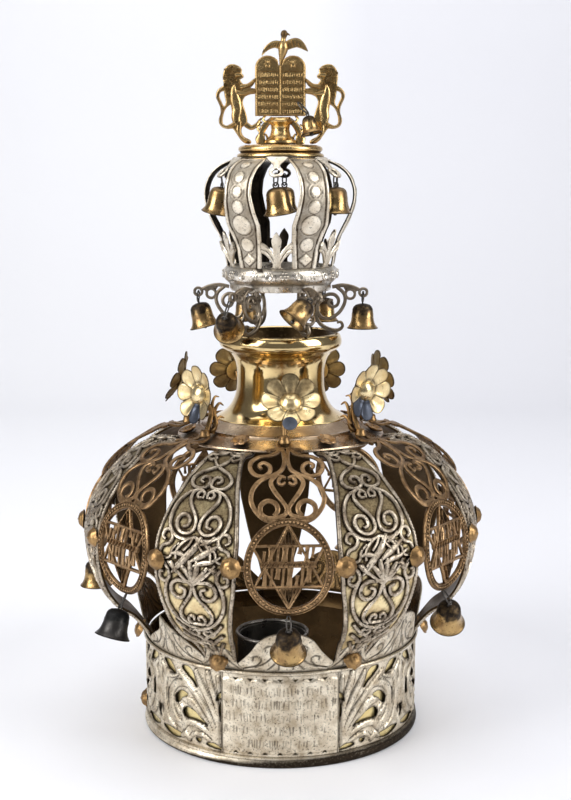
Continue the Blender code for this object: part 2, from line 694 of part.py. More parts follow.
def bird(material):
    """A small bird with spread, drooping wings, standing in the notch between the arches."""

    def at(x, y, z):
        return Vector((x * MM, y * MM, BIRD_FOOT + z * MM))

    bm = bmesh.new()
    turns = [radians(60 * k) for k in range(6)]
    skin(bm, [[at(lean + r * cos(a), 0.8 * r * sin(a), z) for a in turns] for r, z, lean in BIRD_BODY])
    body = piece("bird", bm, material)
    helpers = []
    for upper, lower in BIRD_WINGS:
        bm = bmesh.new()
        sections = []
        for (up_x, up_z), (low_x, low_z) in zip(upper, lower):
            section = [at(up_x, side, up_z) for side in (-0.8, 0.8)]
            sections.append(section + [at(low_x, side, low_z) for side in (0.8, -0.8)])
        skin(bm, sections)
        helpers.append(piece("wing_helper", bm, material))
    bm = bmesh.new()
    bar(bm, [at(x, 0.0, z) for x, z in BIRD_BEAK], 1.3 * MM, 1.5 * MM, ACROSS)
    helpers.append(piece("beak_helper", bm, material))
    joined(body, helpers)
    return body


# Bells.

BELL_SIDES = 7
# Mouth radius and the (radius, height) hanging point of the bells on each tier, in millimetres.
MEDALLION_BELL = (9.65, (115.0, 89.0))
BRACKET_BELL = (8.8, (47.4, 248.4))
SMALL_CROWN_BELL = (9.0, (36.6, 314.6))
FINIAL_BELL = (6.0, (17.4, 354.0))
FINIAL_BELL_AZIMUTH = 62.0
# Two bracket bells hang off to the left of their arms: bracket, degrees to the left, hanging point.
MOVED_BELLS = {1: (5.0, (46.0, 250.6)), 6: (1.5, (52.5, 243.5))}
# The third medallion, on the right, has lost its bell.
LOST_BELL = "bell_medallion_3"
# A few bells hang askew on their stiff wires: degrees that the mouth swings outwards and to the right.
BELL_SWINGS = {
    "bell_medallion_1": (-14.0, 0.0),
    "bell_medallion_2": (-10.0, -8.0),
    "bell_medallion_7": (20.0, 0.0),
    "bell_bracket_1": (0.0, -30.0),
    "bell_bracket_5": (-14.0, 0.0),
    "bell_bracket_6": (-33.0, 0.0),
    "bell_small_1": (-6.0, 8.0),
    "bell_finial": (14.0, 0.0),
}


def bell(name, mouth, top, azimuth, material):
    """A thin bell below a (radius, height) hanging point, all in millimetres."""
    drop = 1.4 * mouth + 2.0
    shoulder, waist = 0.66 * mouth, 0.76 * mouth
    outer = [(0.9, 0.0), (shoulder, -2.4), (waist, -mouth - 2.0), (mouth, -drop)]
    inner = [(mouth - 1.3, -drop), (shoulder - 1.0, -3.6)]
    bm = bmesh.new()
    skin(bm, stacked([(r * MM, z * MM) for r, z in outer + inner], BELL_SIDES))
    out, side = BELL_SWINGS.get(name, (0.0, 0.0))
    swing = Matrix.Rotation(-radians(out), 4, "X") @ Matrix.Rotation(-radians(side), 4, "Y")
    hang = Matrix.Translation((0.0, -top[0] * MM, top[1] * MM)) @ swing
    bmesh.ops.transform(bm, matrix=Matrix.Rotation(radians(azimuth), 4, "Z") @ hang, verts=bm.verts)
    piece(name, bm, material)


def bells(material):
    """Bells under the medallions, on the brackets, in the small crown's openings and by the spool."""
    mouth, top = MEDALLION_BELL
    for k, azimuth in enumerate(MEDALLION_AZIMUTHS):
        name = f"bell_medallion_{k + 1}"
        if name != LOST_BELL:
            bell(name, mouth, top, azimuth, material)
    mouth, usual_top = BRACKET_BELL
    for k, azimuth in enumerate(BRACKET_AZIMUTHS):
        shift, top = MOVED_BELLS.get(k + 1, (0.0, usual_top))
        bell(f"bell_bracket_{k + 1}", mouth, top, azimuth - shift, material)
    mouth, top = SMALL_CROWN_BELL
    for k, azimuth in enumerate(OPENING_AZIMUTHS):
        bell(f"bell_small_{k + 1}", mouth, top, azimuth, material)
    mouth, top = FINIAL_BELL
    bell("bell_finial", mouth, top, FINIAL_BELL_AZIMUTH, material)


def main():
    clear_scene()
    silver = metal("silver", (0.62, 0.59, 0.53), 0.38)
    old_silver = metal("old_silver", (0.40, 0.36, 0.30), 0.42)
    pale_gilt = metal("pale_gilt", (0.78, 0.66, 0.36), 0.38)
    red_gilt = metal("red_gilt", (0.46, 0.29, 0.16), 0.42)
    gilt = metal("gilt", (0.72, 0.53, 0.24), 0.32)
    brass = metal("brass", (0.70, 0.53, 0.29), 0.22)
    bell_gilt = metal("bell_gilt", (0.50, 0.36, 0.16), 0.36)
    dark_iron = metal("dark_iron", (0.09, 0.08, 0.075), 0.5)

    base_band(silver)
    base_liner(pale_gilt)
    roller_socket(dark_iron)
    repeated(stave(silver), [f"stave_{k + 1}" for k in range(MAIN_COUNT)], STAVE_AZIMUTHS)
    repeated(medallion(red_gilt), [f"medallion_{k + 1}" for k in range(MAIN_COUNT)], MEDALLION_AZIMUTHS)
    neck(brass)
    for k, (azimuth, lean) in enumerate(zip(MEDALLION_AZIMUTHS, FLOWER_LEANS)):
        flower(f"flower_{k + 1}", lean, gilt).rotation_euler.z = radians(azimuth)
    repeated(bracket(old_silver), [f"bracket_{k + 1}" for k in range(SMALL_COUNT)], BRACKET_AZIMUTHS)
    small_crown(silver)
    top_disc(gilt)
    finial_spool(gilt)
    lions_and_tablets(gilt)
    bird(gilt)
    bells(bell_gilt)


main()
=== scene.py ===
import math
import random

import bmesh
import bpy
import numpy as np
from mathutils import Matrix, Vector


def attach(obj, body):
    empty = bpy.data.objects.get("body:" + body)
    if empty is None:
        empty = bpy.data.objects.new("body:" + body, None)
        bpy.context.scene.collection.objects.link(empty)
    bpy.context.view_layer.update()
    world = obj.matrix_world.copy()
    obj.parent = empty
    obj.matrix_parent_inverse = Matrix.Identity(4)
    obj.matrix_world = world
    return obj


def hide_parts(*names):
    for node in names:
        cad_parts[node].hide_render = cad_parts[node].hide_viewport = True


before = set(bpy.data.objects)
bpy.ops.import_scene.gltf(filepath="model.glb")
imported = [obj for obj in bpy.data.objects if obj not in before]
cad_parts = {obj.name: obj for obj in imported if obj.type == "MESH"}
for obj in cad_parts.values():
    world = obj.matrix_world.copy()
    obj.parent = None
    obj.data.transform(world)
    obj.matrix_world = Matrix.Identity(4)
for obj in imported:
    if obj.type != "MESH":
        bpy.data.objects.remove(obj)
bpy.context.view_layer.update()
MM = 0.001


# ---------------------------------------------------------------------------------------------
# The table and the room: a pale seamless sweep that the crown stands on, wide soft lamps on both
# sides and overhead, and a dim room that gives the polished brass its deep reflections.
# Sizes in metres. The paper is painted darker and cooler to the right, a painted shade, and painted
# brighter round the crown's foot, a painted glow that lifts the crown's shadow there.
SWEEP_REACH = 2.6
SWEEP_DEPTH = 1.1
SWEEP_FRONT = -0.75
SWEEP_RADIUS = 0.5
SWEEP_COLOUR = (0.81, 0.815, 0.845, 1)
SWEEP_SHADED = (0.745, 0.75, 0.79, 1)
SHADE_SPAN = (0.05, 0.145)
PAINTED_GLOW_CENTRE = (0, 0.06, 0)
PAINTED_GLOW_SPAN = (0.13, 0.2)
PAINTED_GLOW = 1.09
PAPER_ROUGHNESS = 0.6
LAMP_AIM = Vector((0, 0, 0.18))
PAPER_AIM = Vector((0, 1.4, 0.1))


def nothing_selected():
    if bpy.context.object and bpy.context.object.mode != "OBJECT":
        bpy.ops.object.mode_set(mode="OBJECT")
    bpy.ops.object.select_all(action="DESELECT")


nothing_selected()
bpy.ops.mesh.primitive_plane_add(size=2)
sweep = bpy.context.object
sweep.name = "paper_sweep"
bpy.ops.transform.resize(value=(SWEEP_REACH, (SWEEP_DEPTH - SWEEP_FRONT) / 2, 1))
bpy.ops.transform.translate(value=(0, (SWEEP_DEPTH + SWEEP_FRONT) / 2, 0))
bpy.ops.object.transform_apply(location=True, scale=True)
bpy.ops.object.mode_set(mode="EDIT")
bpy.ops.mesh.select_all(action="DESELECT")
bpy.ops.object.mode_set(mode="OBJECT")
for edge in sweep.data.edges:
    edge.select = all(sweep.data.vertices[v].co.y > SWEEP_DEPTH - 0.01 for v in edge.vertices)
bpy.ops.object.mode_set(mode="EDIT")
bpy.ops.mesh.select_mode(type="EDGE")
bpy.ops.mesh.spin(steps=16, angle=-math.pi / 2, center=(0, SWEEP_DEPTH, SWEEP_RADIUS), axis=(1, 0, 0))
bpy.ops.mesh.extrude_region_move(TRANSFORM_OT_translate={"value": (0, 0, SWEEP_REACH)})
bpy.ops.object.mode_set(mode="OBJECT")
bpy.ops.object.shade_smooth()


def new_node(tree, kind, inputs, **settings):
    """Adds a shader node, each of its inputs a plain value or the output of another node."""
    made = tree.nodes.new(f"ShaderNode{kind}")
    for key, value in settings.items():
        setattr(made, key, value)
    for key, value in inputs.items():
        if isinstance(value, bpy.types.NodeSocket):
            tree.links.new(value, made.inputs[key])
        else:
            made.inputs[key].default_value = value
    return made


paper = bpy.data.materials.new("pale_paper")
paper.use_nodes = True
tree = paper.node_tree
place = new_node(tree, "TexCoord", {}).outputs["Object"]
tone = new_node(tree, "ValToRGB", {"Fac": new_node(tree, "SeparateXYZ", {"Vector": place}).outputs["X"]})
for element, position, colour in zip(tone.color_ramp.elements, SHADE_SPAN, (SWEEP_COLOUR, SWEEP_SHADED)):
    element.position, element.color = position, colour
# A painted glow: the paper is made brighter near the crown's foot, lifting the crown's shadow there.
away = new_node(tree, "VectorMath", {0: place, 1: PAINTED_GLOW_CENTRE}, operation="DISTANCE")
lift = new_node(tree, "MapRange", {"Value": away.outputs["Value"], "To Min": PAINTED_GLOW, "To Max": 1.0,
                                   "From Min": PAINTED_GLOW_SPAN[0], "From Max": PAINTED_GLOW_SPAN[1]})
bright = new_node(tree, "VectorMath", {0: tone.outputs["Color"], "Scale": lift.outputs["Result"]},
                  operation="SCALE")
shader = tree.nodes["Principled BSDF"]
tree.links.new(bright.outputs["Vector"], shader.inputs["Base Color"])
shader.inputs["Roughness"].default_value = PAPER_ROUGHNESS
sweep.data.materials.append(paper)

for name, place, size, power in (
    ("lamp_left", (-1.15, -0.75, 0.85), (0.9, 1.3), 22),
    ("lamp_right", (1.2, -0.55, 0.8), (0.8, 1.3), 18),
    ("lamp_front", (-0.15, -1.5, 1.35), (1.0, 0.5), 1.3),
    ("lamp_top", (0, 0.15, 1.5), (1.3, 1.0), 8.1),
    ("lamp_back", (0, 0.85, 1.3), (2.0, 0.5), 6.6),
):
    nothing_selected()
    bpy.ops.object.light_add(type="AREA", location=place)
    lamp = bpy.context.object
    lamp.name = name
    lamp.data.shape = "RECTANGLE"
    lamp.data.size, lamp.data.size_y = size
    lamp.data.energy = power
    aim = PAPER_AIM if name == "lamp_back" else LAMP_AIM
    lamp.rotation_euler = (aim - lamp.location).to_track_quat("-Z", "Y").to_euler()

world = bpy.data.worlds.new("room")
bpy.context.scene.world = world
world.use_nodes = True
sky = world.node_tree.nodes["Background"]
sky.inputs["Color"].default_value = (0.96, 0.96, 1.0, 1)
sky.inputs["Strength"].default_value = 0.17

nothing_selected()
bpy.ops.object.camera_add(location=(0.00289, -0.786842, 0.318096), rotation=(math.radians(80.874), 0, 0))
camera = bpy.context.object
camera.name = "view"
camera.data.sensor_fit = "VERTICAL"
camera.data.sensor_height = 36
camera.data.lens = 61.36
camera.data.clip_start = 0.05
bpy.context.scene.camera = camera
bpy.context.scene.view_settings.view_transform = "Standard"


# ---------------------------------------------------------------------------------------------
# The gilt liner: a thin brass sleeve set inside the pierced band, so that pale gold shows through
# the piercings. It has a small bead near its top, and its inside is painted dark brown as painted shade.
def polished_metal(name, bright, worn, stain_and_shade, rough=(0.28, 0.5), spots=0.5, tarnish_and_shade_in_hollows=0.8,
                   grain=900.0, dents=0.25, reach=0.0035, patch=140.0):
    """A metal finish: two tones of wear in soft patches, specks of tarnish, and darkening in every recess
    and wherever the vertex marks call for it, partly tarnish and partly painted shade.
    """
    made = bpy.data.materials.new(name)
    made.use_nodes = True
    tree = made.node_tree
    place = new_node(tree, "TexCoord", {}).outputs["Object"]

    def noise(scale, detail, roughness=0.55):
        inputs = {"Vector": place, "Scale": scale, "Detail": detail, "Roughness": roughness}
        return new_node(tree, "TexNoise", inputs).outputs["Fac"]

    def span(value, low, high, to_low=0.0, to_high=1.0):
        inputs = {"Value": value, "From Min": low, "From Max": high, "To Min": to_low, "To Max": to_high}
        return new_node(tree, "MapRange", inputs).outputs["Result"]

    def blended(factor, first, second):
        # A mix node keeps its two colours at inputs 6 and 7 and the mixed one at output 2.
        return new_node(tree, "Mix", {"Factor": factor, 6: first, 7: second}, data_type="RGBA").outputs[2]

    def combined(kind, first, second):
        return new_node(tree, "Math", {0: first, 1: second}, operation=kind,
                        use_clamp=kind in ("ADD", "MULTIPLY")).outputs["Value"]

    patches = span(noise(patch, 5), 0.35, 0.68)
    fine = noise(grain, 6, 0.7)
    specks = span(fine, 0.66 - 0.14 * spots, 0.74 - 0.1 * spots)
    # Ambient occlusion darkens every recess: tarnish there, and painted shade as well.
    cover = new_node(tree, "AmbientOcclusion", {"Distance": reach}, samples=6)
    tarnish_and_painted_shade = span(cover.outputs["AO"], 0.85, 0.35)
    # The vertex marks add painted shade in some places and tarnish in others.
    tarnish_and_shade_marks = new_node(tree, "Attribute", {}, attribute_name="tarnish_and_shade").outputs["Fac"]
    tarnish_and_painted_shade = combined("ADD", combined("MULTIPLY", tarnish_and_painted_shade, tarnish_and_shade_in_hollows), tarnish_and_shade_marks)
    tarnish_and_painted_shade = combined("MULTIPLY", tarnish_and_painted_shade, span(fine, 0.3, 0.6, 0.84, 1.12))
    tarnish_specks_and_shade = combined("MAXIMUM", tarnish_and_painted_shade, combined("MULTIPLY", specks, spots))
    colour = blended(tarnish_specks_and_shade, blended(patches, (*bright, 1), (*worn, 1)), (*stain_and_shade, 1))
    rough_here = combined("ADD", span(patches, 0, 1, *rough), combined("MULTIPLY", tarnish_specks_and_shade, 0.25))
    height = combined("ADD", fine, noise(patch * 1.7, 3))
    bump = new_node(tree, "Bump", {"Strength": dents, "Distance": 0.4 * MM, "Height": height})
    shader = tree.nodes["Principled BSDF"]
    shader.inputs["Metallic"].default_value = 1.0
    wired = {"Base Color": colour, "Roughness": rough_here, "Normal": bump.outputs["Normal"]}
    for key, value in wired.items():
        tree.links.new(value, shader.inputs[key])
    return made


def through(points, steps):
    """A smooth line through the given points, of two or three numbers each, ends kept."""
    line = np.array(points, float)
    padded = np.vstack((2 * line[0] - line[1], line, 2 * line[-1] - line[-2]))
    made = []
    for a, b, c, d in zip(padded, padded[1:], padded[2:], padded[3:]):
        for t in np.arange(steps) / steps:
            made.append(0.5 * (2 * b + (c - a) * t + (2 * a - 5 * b + 4 * c - d) * t**2
                               + (3 * b - a - 3 * c + d) * t**3))
    made.append(line[-1])
    return np.array(made)


def chosen(piece):
    """Selects one piece alone, so that the next step works on it."""
    nothing_selected()
    piece.select_set(True)
    bpy.context.view_layer.objects.active = piece


def object_of(name, points, faces, smooth_angle=35):
    """A new object from points in millimetres, shaded smooth up to that angle."""
    mesh = bpy.data.meshes.new(name)
    mesh.from_pydata((np.asarray(points, float) * MM).tolist(), [], faces)
    mesh.update()
    made = bpy.data.objects.new(name, mesh)
    bpy.context.scene.collection.objects.link(made)
    chosen(made)
    if len(mesh.polygons):
        bpy.ops.object.shade_smooth_by_angle(angle=math.radians(smooth_angle))
    return made


def cleaned(made, smooth_angle):
    """Welds points that coincide, turns every face outwards and shades the piece smooth."""
    bpy.ops.object.mode_set(mode="EDIT")
    bpy.ops.mesh.select_all(action="SELECT")
    bpy.ops.mesh.remove_doubles(threshold=0.00001)
    bpy.ops.mesh.normals_make_consistent(inside=False)
    bpy.ops.object.mode_set(mode="OBJECT")
    bpy.ops.object.shade_smooth_by_angle(angle=math.radians(smooth_angle))
    return made


def lathe(name, profile, turns=96, centre=(0, 0), smooth_angle=35):
    """A profile of (radius, height) in millimetres, spun round its upright axis as on a lathe."""
    made = object_of(name, [(centre[0] + r, centre[1], z) for r, z in profile], [])
    bm = bmesh.new()
    bm.from_mesh(made.data)
    bm.verts.ensure_lookup_table()
    for first, second in zip(bm.verts[:], bm.verts[1:]):
        bm.edges.new((first, second))
    bm.to_mesh(made.data)
    bm.free()
    bpy.ops.object.mode_set(mode="EDIT")
    bpy.ops.mesh.select_all(action="SELECT")
    bpy.ops.mesh.spin(steps=turns, angle=2 * math.pi, axis=(0, 0, 1),
                      center=(centre[0] * MM, centre[1] * MM, 0))
    return cleaned(made, smooth_angle)


def fitted(piece, finish, slot, *nodes):
    """Gives a piece its finish, lets it ride with the crown and hides the imported solids that it stands
    for.
    """
    piece.data.materials.clear()
    piece.data.materials.append(finish)
    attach(piece, "root")
    if nodes:
        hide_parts(*nodes)
    return piece


def lined(piece, finish, picked):
    """Gives the faces that a rule picks out a finish of their own."""
    piece.data.materials.append(finish)
    for face in piece.data.polygons:
        if picked(face):
            face.material_index = 1


LINER_OUTER, LINER_INNER, LINER_TOP = 78.5, 77.8, 53
pale_gilt = polished_metal("pale_gilt", (0.86, 0.72, 0.36), (0.8, 0.62, 0.28), (0.085, 0.045, 0.018),
                           rough=(0.25, 0.42), spots=0.25, tarnish_and_shade_in_hollows=0.75, dents=0.2)
liner = lathe("liner_sleeve", [(LINER_OUTER, 1), (LINER_OUTER, LINER_TOP), (LINER_INNER, LINER_TOP),
                               (LINER_INNER, 44), (77.5, 43.4), (77.5, 42.6), (LINER_INNER, 42),
                               (LINER_INNER, 1), (LINER_OUTER, 1)], turns=128)
# A dark brown copy of the gilt for faces that look inwards: painted shade.
painted_shade_inside = polished_metal("painted_shade_inside", (0.25, 0.155, 0.068), (0.17, 0.105, 0.046),
                              (0.02, 0.013, 0.008), rough=(0.2, 0.36), spots=0.2, tarnish_and_shade_in_hollows=0.35, patch=60)
fitted(liner, pale_gilt, "pale_gilt", "base_liner")
lined(liner, painted_shade_inside, lambda face: face.center.xy.length < (LINER_INNER + 0.4) * MM)


# ---------------------------------------------------------------------------------------------
# The roller socket: a dark iron tube with a rolled rim in the middle of the base, which slips over
# the scroll's wooden roller. It stands on a flat strap that crosses the foot.
SOCKET_AXIS = (-5, 0)
SOCKET_BORE = 19.5
STRAP_SIZE = (155.4, 16, 1.6)
STRAP_HEIGHT = 2.4


def darkened(made, amounts):
    """Notes how dark each vertex is, from 0 where it is clean to 1 where it is darkest: tarnish in some
    places, painted shade in others.
    """
    tarnish_and_shade_marks = made.data.attributes.new("tarnish_and_shade", "FLOAT", "POINT")
    tarnish_and_shade_marks.data.foreach_set("value", np.asarray(amounts, np.float32).ravel())
    return made


def joined(name, pieces):
    """Solders several pieces into one."""
    nothing_selected()
    for piece in pieces:
        piece.select_set(True)
    bpy.context.view_layer.objects.active = pieces[0]
    bpy.ops.object.join()
    made = bpy.context.object
    made.name = made.data.name = name
    return made


dark_iron = polished_metal("dark_iron", (0.34, 0.32, 0.29), (0.2, 0.18, 0.16), (0.03, 0.026, 0.022),
                           rough=(0.24, 0.45), spots=0.5, tarnish_and_shade_in_hollows=0.5, dents=0.35)
rim = [(21 + 1.2 * math.sin(a), 50.8 + 1.2 * math.cos(a)) for a in np.linspace(-2.4, 2.4, 14)]
tube = lathe("socket_tube", [(SOCKET_BORE, 1.7), (25, 1.7), (25, 3.1), (21.6, 3.4), (21, 4.2),
                             (21, 49.4)] + rim[::-1] + [(SOCKET_BORE, 49.6), (SOCKET_BORE, 1.7)],
             centre=SOCKET_AXIS)
nothing_selected()
bpy.ops.mesh.primitive_cube_add(size=1, location=(0, 0, STRAP_HEIGHT * MM))
strap = bpy.context.object
bpy.ops.transform.resize(value=[side * MM for side in STRAP_SIZE])
bpy.ops.object.transform_apply(location=True, scale=True)
bpy.ops.object.modifier_add(type="BEVEL")
strap.modifiers[0].width = 0.4 * MM
bpy.ops.object.modifier_apply(modifier=strap.modifiers[0].name)
nothing_selected()
bpy.ops.mesh.primitive_cylinder_add(vertices=64, radius=(SOCKET_BORE - 0.05) * MM, depth=8 * MM,
                                    location=(SOCKET_AXIS[0] * MM, 0, STRAP_HEIGHT * MM))
bore = bpy.context.object
bpy.context.view_layer.objects.active = strap
cut = strap.modifiers.new("bore", "BOOLEAN")
cut.object, cut.solver = bore, "EXACT"
bpy.ops.object.modifier_apply(modifier="bore")
bpy.data.objects.remove(bore)
tube = joined("socket_tube", [tube, strap])
# Painted shade: the tube below its rim, and the strap, are painted dark, down inside the base.
darkened(tube, [0 if vertex.co.z > 49.5 * MM else 0.8 for vertex in tube.data.vertices])
fitted(tube, dark_iron, "dark_iron", "roller_socket")


# ---------------------------------------------------------------------------------------------
# The base band: one silver sheet chased and pierced with acanthus scrolls either side of a raised
# panel of worn writing, now only ticks. A wire is soldered round its top and its foot is rolled.
BAND_RADIUS = 80
PANEL_HALF = 33.0
SCROLL_WIDTH = 98.0
BACK_PANEL = 24.0
WALL_FOOT, WALL_TOP = 5.6, 53.3
BAND_SHEET = 0.8
LEAF_RISE, WALL_SET_BACK = 1.25, 0.45
PANEL_OUT, PANEL_RISE, TICK_DEPTH = 0.15, 0.55, 0.3
# A distance in millimetres that counts as clear of every stroke.
FAR = 9.0
# Points of each stroke: along the band from the panel's edge, height, and half the stroke's width.
PIERCINGS = [
    [(0.3, 34.5, 0.2), (-0.1, 31.5, 1.2), (0.6, 27.5, 0.3)],
    [(0.1, 40.6, 0.2), (1.5, 38.4, 1.0), (2.8, 36.2, 0.2)],
    [(26.5, 50.0, 1.0), (22.4, 48.2, 2.2), (19.2, 44.6, 0.8), (17.0, 41.2, 0.2)],
    [(43.5, 49.9, 0.8), (39.0, 48.4, 2.1), (34.2, 45.4, 0.4)],
    [(24.2, 34.6, 0.3), (27.6, 34.3, 1.4), (30.8, 32.0, 1.7), (31.8, 29.2, 0.7)],
    [(23.6, 24.4, 2.7), (18.8, 23.8, 1.9), (13.8, 22.2, 1.0), (9.4, 20.4, 0.2)],
    [(46.0, 10.2, 0.3), (40.4, 9.5, 1.5), (34.4, 9.0, 1.5), (30.4, 9.3, 1.0)],
    [(9.6, 8.9, 0.3), (5.0, 8.9, 1.2), (0.4, 7.9, 0.3)],
    [(39.9, 34.0, 0.3), (40.4, 30.0, 0.5), (39.8, 26.0, 0.3)],
    [(14.6, 10.6, 0.3), (15.6, 9.8, 0.7), (16.8, 10.4, 0.3)],
    [(47.6, 22.0, 0.2), (48.6, 19.0, 0.6), (49.0, 15.0, 0.2)],
]
LEAVES = [
    [(1.0, 9.0, 0.8), (4.0, 18.0, 1.5), (9.0, 26.6, 1.9), (15.6, 34.6, 1.9), (23.0, 41.2, 1.8),
     (31.0, 47.6, 1.2)],
    [(0.6, 12.0, 0.8), (2.6, 22.0, 1.5), (6.2, 30.6, 2.0), (10.2, 38.0, 2.1), (14.2, 44.6, 2.0),
     (17.0, 50.0, 1.4)],
    [(0.8, 18.0, 0.8), (2.6, 30.0, 1.3), (5.2, 38.6, 1.9), (8.0, 46.0, 2.1), (9.0, 51.0, 1.6)],
    [(0.8, 36.0, 0.8), (1.6, 42.0, 1.4), (2.2, 49.0, 1.6)],
    [(1.6, 10.0, 0.8), (7.6, 18.6, 1.5), (14.4, 26.4, 2.2), (20.4, 31.0, 2.7), (26.2, 32.0, 1.9)],
    [(17.6, 38.6, 0.6), (25.6, 40.8, 1.8), (32.4, 39.2, 2.4), (36.6, 34.0, 2.6), (37.2, 27.0, 2.6),
     (35.0, 20.6, 2.5), (30.4, 16.4, 2.4), (26.4, 17.8, 2.0), (26.2, 21.6, 1.6)],
    [(33.4, 33.4, 0.6), (33.8, 28.6, 1.3), (31.8, 24.2, 1.7), (28.6, 22.6, 1.6), (27.4, 25.6, 1.3),
     (29.8, 28.2, 0.8)],
    [(1.8, 9.6, 0.8), (8.6, 15.8, 1.5), (16.6, 18.8, 1.8), (23.6, 18.4, 1.8), (27.8, 14.0, 1.4)],
    [(2.4, 8.6, 0.7), (8.6, 12.2, 1.2), (14.6, 13.9, 1.3), (19.6, 12.6, 1.2), (21.6, 9.6, 0.7)],
    [(22.0, 9.0, 1.2), (25.0, 11.4, 2.0), (28.0, 9.6, 1.2)],
    [(33.0, 12.6, 0.8), (39.8, 15.6, 1.8), (43.6, 22.6, 2.2), (44.8, 30.6, 2.4), (43.6, 38.6, 2.2),
     (40.6, 44.6, 1.4)],
    [(31.6, 44.0, 0.6), (37.4, 42.6, 1.5), (41.6, 43.0, 1.6), (46.6, 48.0, 1.2)],
    [(46.4, 13.4, 0.8), (47.8, 24.6, 1.5), (48.0, 34.6, 1.7), (48.6, 43.6, 1.6), (49.0, 51.0, 1.0)],
]


def near(s, z, stroke):
    """How far points lie outside a tapering stroke, and where inside it, from 0 on its line to 1."""
    gap, share = np.full(np.shape(s), 1e3), np.full(np.shape(s), 1e3)
    for (s0, z0, w0), (s1, z1, w1) in zip(stroke, stroke[1:]):
        ds, dz = s1 - s0, z1 - z0
        t = np.clip(((s - s0) * ds + (z - z0) * dz) / (ds * ds + dz * dz), 0, 1)
        away = np.hypot(s - s0 - t * ds, z - z0 - t * dz)
        width = w0 + t * (w1 - w0)
        closer = away - width < gap
        gap = np.where(closer, away - width, gap)
        share = np.where(closer, away / np.maximum(width, 0.01), share)
    return gap, share


def points_of(x, y, z):
    """One list of points from three lists or grids of the same shape."""
    return np.stack((x, y, z), -1).reshape(-1, 3)


def hump(value, middle, width):
    """1 at the middle, and fading to nothing about two widths to either side."""
    return np.exp(-((value - middle) / width) ** 2)


def grid_sheet(name, columns, rows, gap, place, tarnish_and_shade):
    """A sheet on a grid; cells where gap is negative are pierced, and the cells next to them are trimmed
    to the edge. place(s, z) gives x, y and z in millimetres."""
    s, z = np.meshgrid(columns, rows)
    along_z, along_s = np.gradient(gap, rows, columns)
    steep = np.maximum(np.hypot(along_s, along_z), 0.3)
    cell = 0.62 * max(np.diff(rows).max(), 0.5)
    shift = np.where(np.abs(gap) < cell, gap / steep**2, 0)
    shift[:, [0, -1]] = 0
    shift[[0, -1], :] = 0
    x, y, up = place(s - shift * along_s, z - shift * along_z)
    count = len(columns)
    kept, faces = np.where(np.abs(gap) < cell, 0, gap), []
    for row in range(len(rows) - 1):
        for column in range(count - 1):
            after = column + 1
            corners = kept[row, column] + kept[row, after] + kept[row + 1, after] + kept[row + 1, column]
            if corners > 0:
                first = row * count
                faces.append((first + column, first + after, first + count + after, first + count + column))
    made = darkened(object_of(name, points_of(x, y, up), faces, 60), tarnish_and_shade)
    bm = bmesh.new()
    bm.from_mesh(made.data)
    bmesh.ops.delete(bm, geom=[v for v in bm.verts if not v.link_faces], context="VERTS")
    bm.to_mesh(made.data)
    bm.free()
    return made


def thickened(piece, depth):
    """Gives a sheet its metal, behind the face that shows."""
    wall = piece.modifiers.new("metal", "SOLIDIFY")
    wall.thickness, wall.offset = depth * MM, -1
    chosen(piece)
    bpy.ops.object.modifier_apply(modifier="metal")
    return piece


def rolled(s, z, proud):
    """Rolls a flat sheet into the band: s in millimetres along it, from the front to the right."""
    turn = s / BAND_RADIUS
    reach = BAND_RADIUS + proud
    return reach * np.sin(turn), -reach * np.cos(turn), z


silver = polished_metal("silver", (0.89, 0.8, 0.64), (0.5, 0.41, 0.29), (0.03, 0.022, 0.015),
                        rough=(0.34, 0.5), spots=0.85, tarnish_and_shade_in_hollows=0.95, dents=0.5, reach=0.003)

# The pierced wall, from one edge of the front panel round to the other.
half_turn = math.pi * BAND_RADIUS
wall_s = np.concatenate((np.arange(PANEL_HALF, PANEL_HALF + SCROLL_WIDTH + 2, 0.72),
                         np.arange(PANEL_HALF + SCROLL_WIDTH + 2.5, half_turn, 1.1)))
wall_s = np.concatenate((wall_s, 2 * math.pi * BAND_RADIUS - wall_s[::-1]))
wall_z = np.arange(WALL_FOOT, WALL_TOP, 0.74)
flat_s, flat_z = np.meshgrid(wall_s, wall_z)
from_panel = np.minimum(flat_s, 2 * half_turn - flat_s) - PANEL_HALF
unit_s = np.where(from_panel > SCROLL_WIDTH, 2 * SCROLL_WIDTH - from_panel, from_panel)
unit_s = np.where(unit_s > SCROLL_WIDTH / 2, SCROLL_WIDTH - unit_s, unit_s)
plain_back = half_turn - PANEL_HALF - from_panel < BACK_PANEL
band_gap = np.full(flat_s.shape, FAR)
for stroke in PIERCINGS:
    band_gap = np.minimum(band_gap, near(unit_s, flat_z, through(stroke, 4))[0] - 0.45)
band_gap = np.where(plain_back, FAR, band_gap)
relief = np.zeros(flat_s.shape)
leaf_edge = np.full(flat_s.shape, FAR)
for stroke in LEAVES:
    gap, share = near(unit_s, flat_z, through(stroke, 4))
    rise = 0.95 * np.sqrt(np.clip(1 - share**2, 0, 1)) - 0.45 * np.clip(1 - share / 0.2, 0, 1)
    relief = np.maximum(relief, rise)
    leaf_edge = np.minimum(leaf_edge, np.abs(gap))
relief = np.where(plain_back, 0.3, relief)
# Darkness on the band: tarnish and painted shade along the leaves' edges and round every piercing, and the
# dark joint beside the panel.
band_tarnish_and_shade = np.where(plain_back, 0, 0.9 * np.clip(1 - leaf_edge / 0.6, 0, 1) * (relief < 0.5))
band_tarnish_and_shade = np.maximum(band_tarnish_and_shade, 0.9 * np.clip(1.15 - np.abs(band_gap) / 0.8, 0, 1))
beside_panel = np.clip(1 - np.abs(from_panel - 1.2) / 1.6, 0, 1) * (from_panel < SCROLL_WIDTH)
band_tarnish_and_shade = np.maximum(band_tarnish_and_shade, 0.55 * beside_panel)


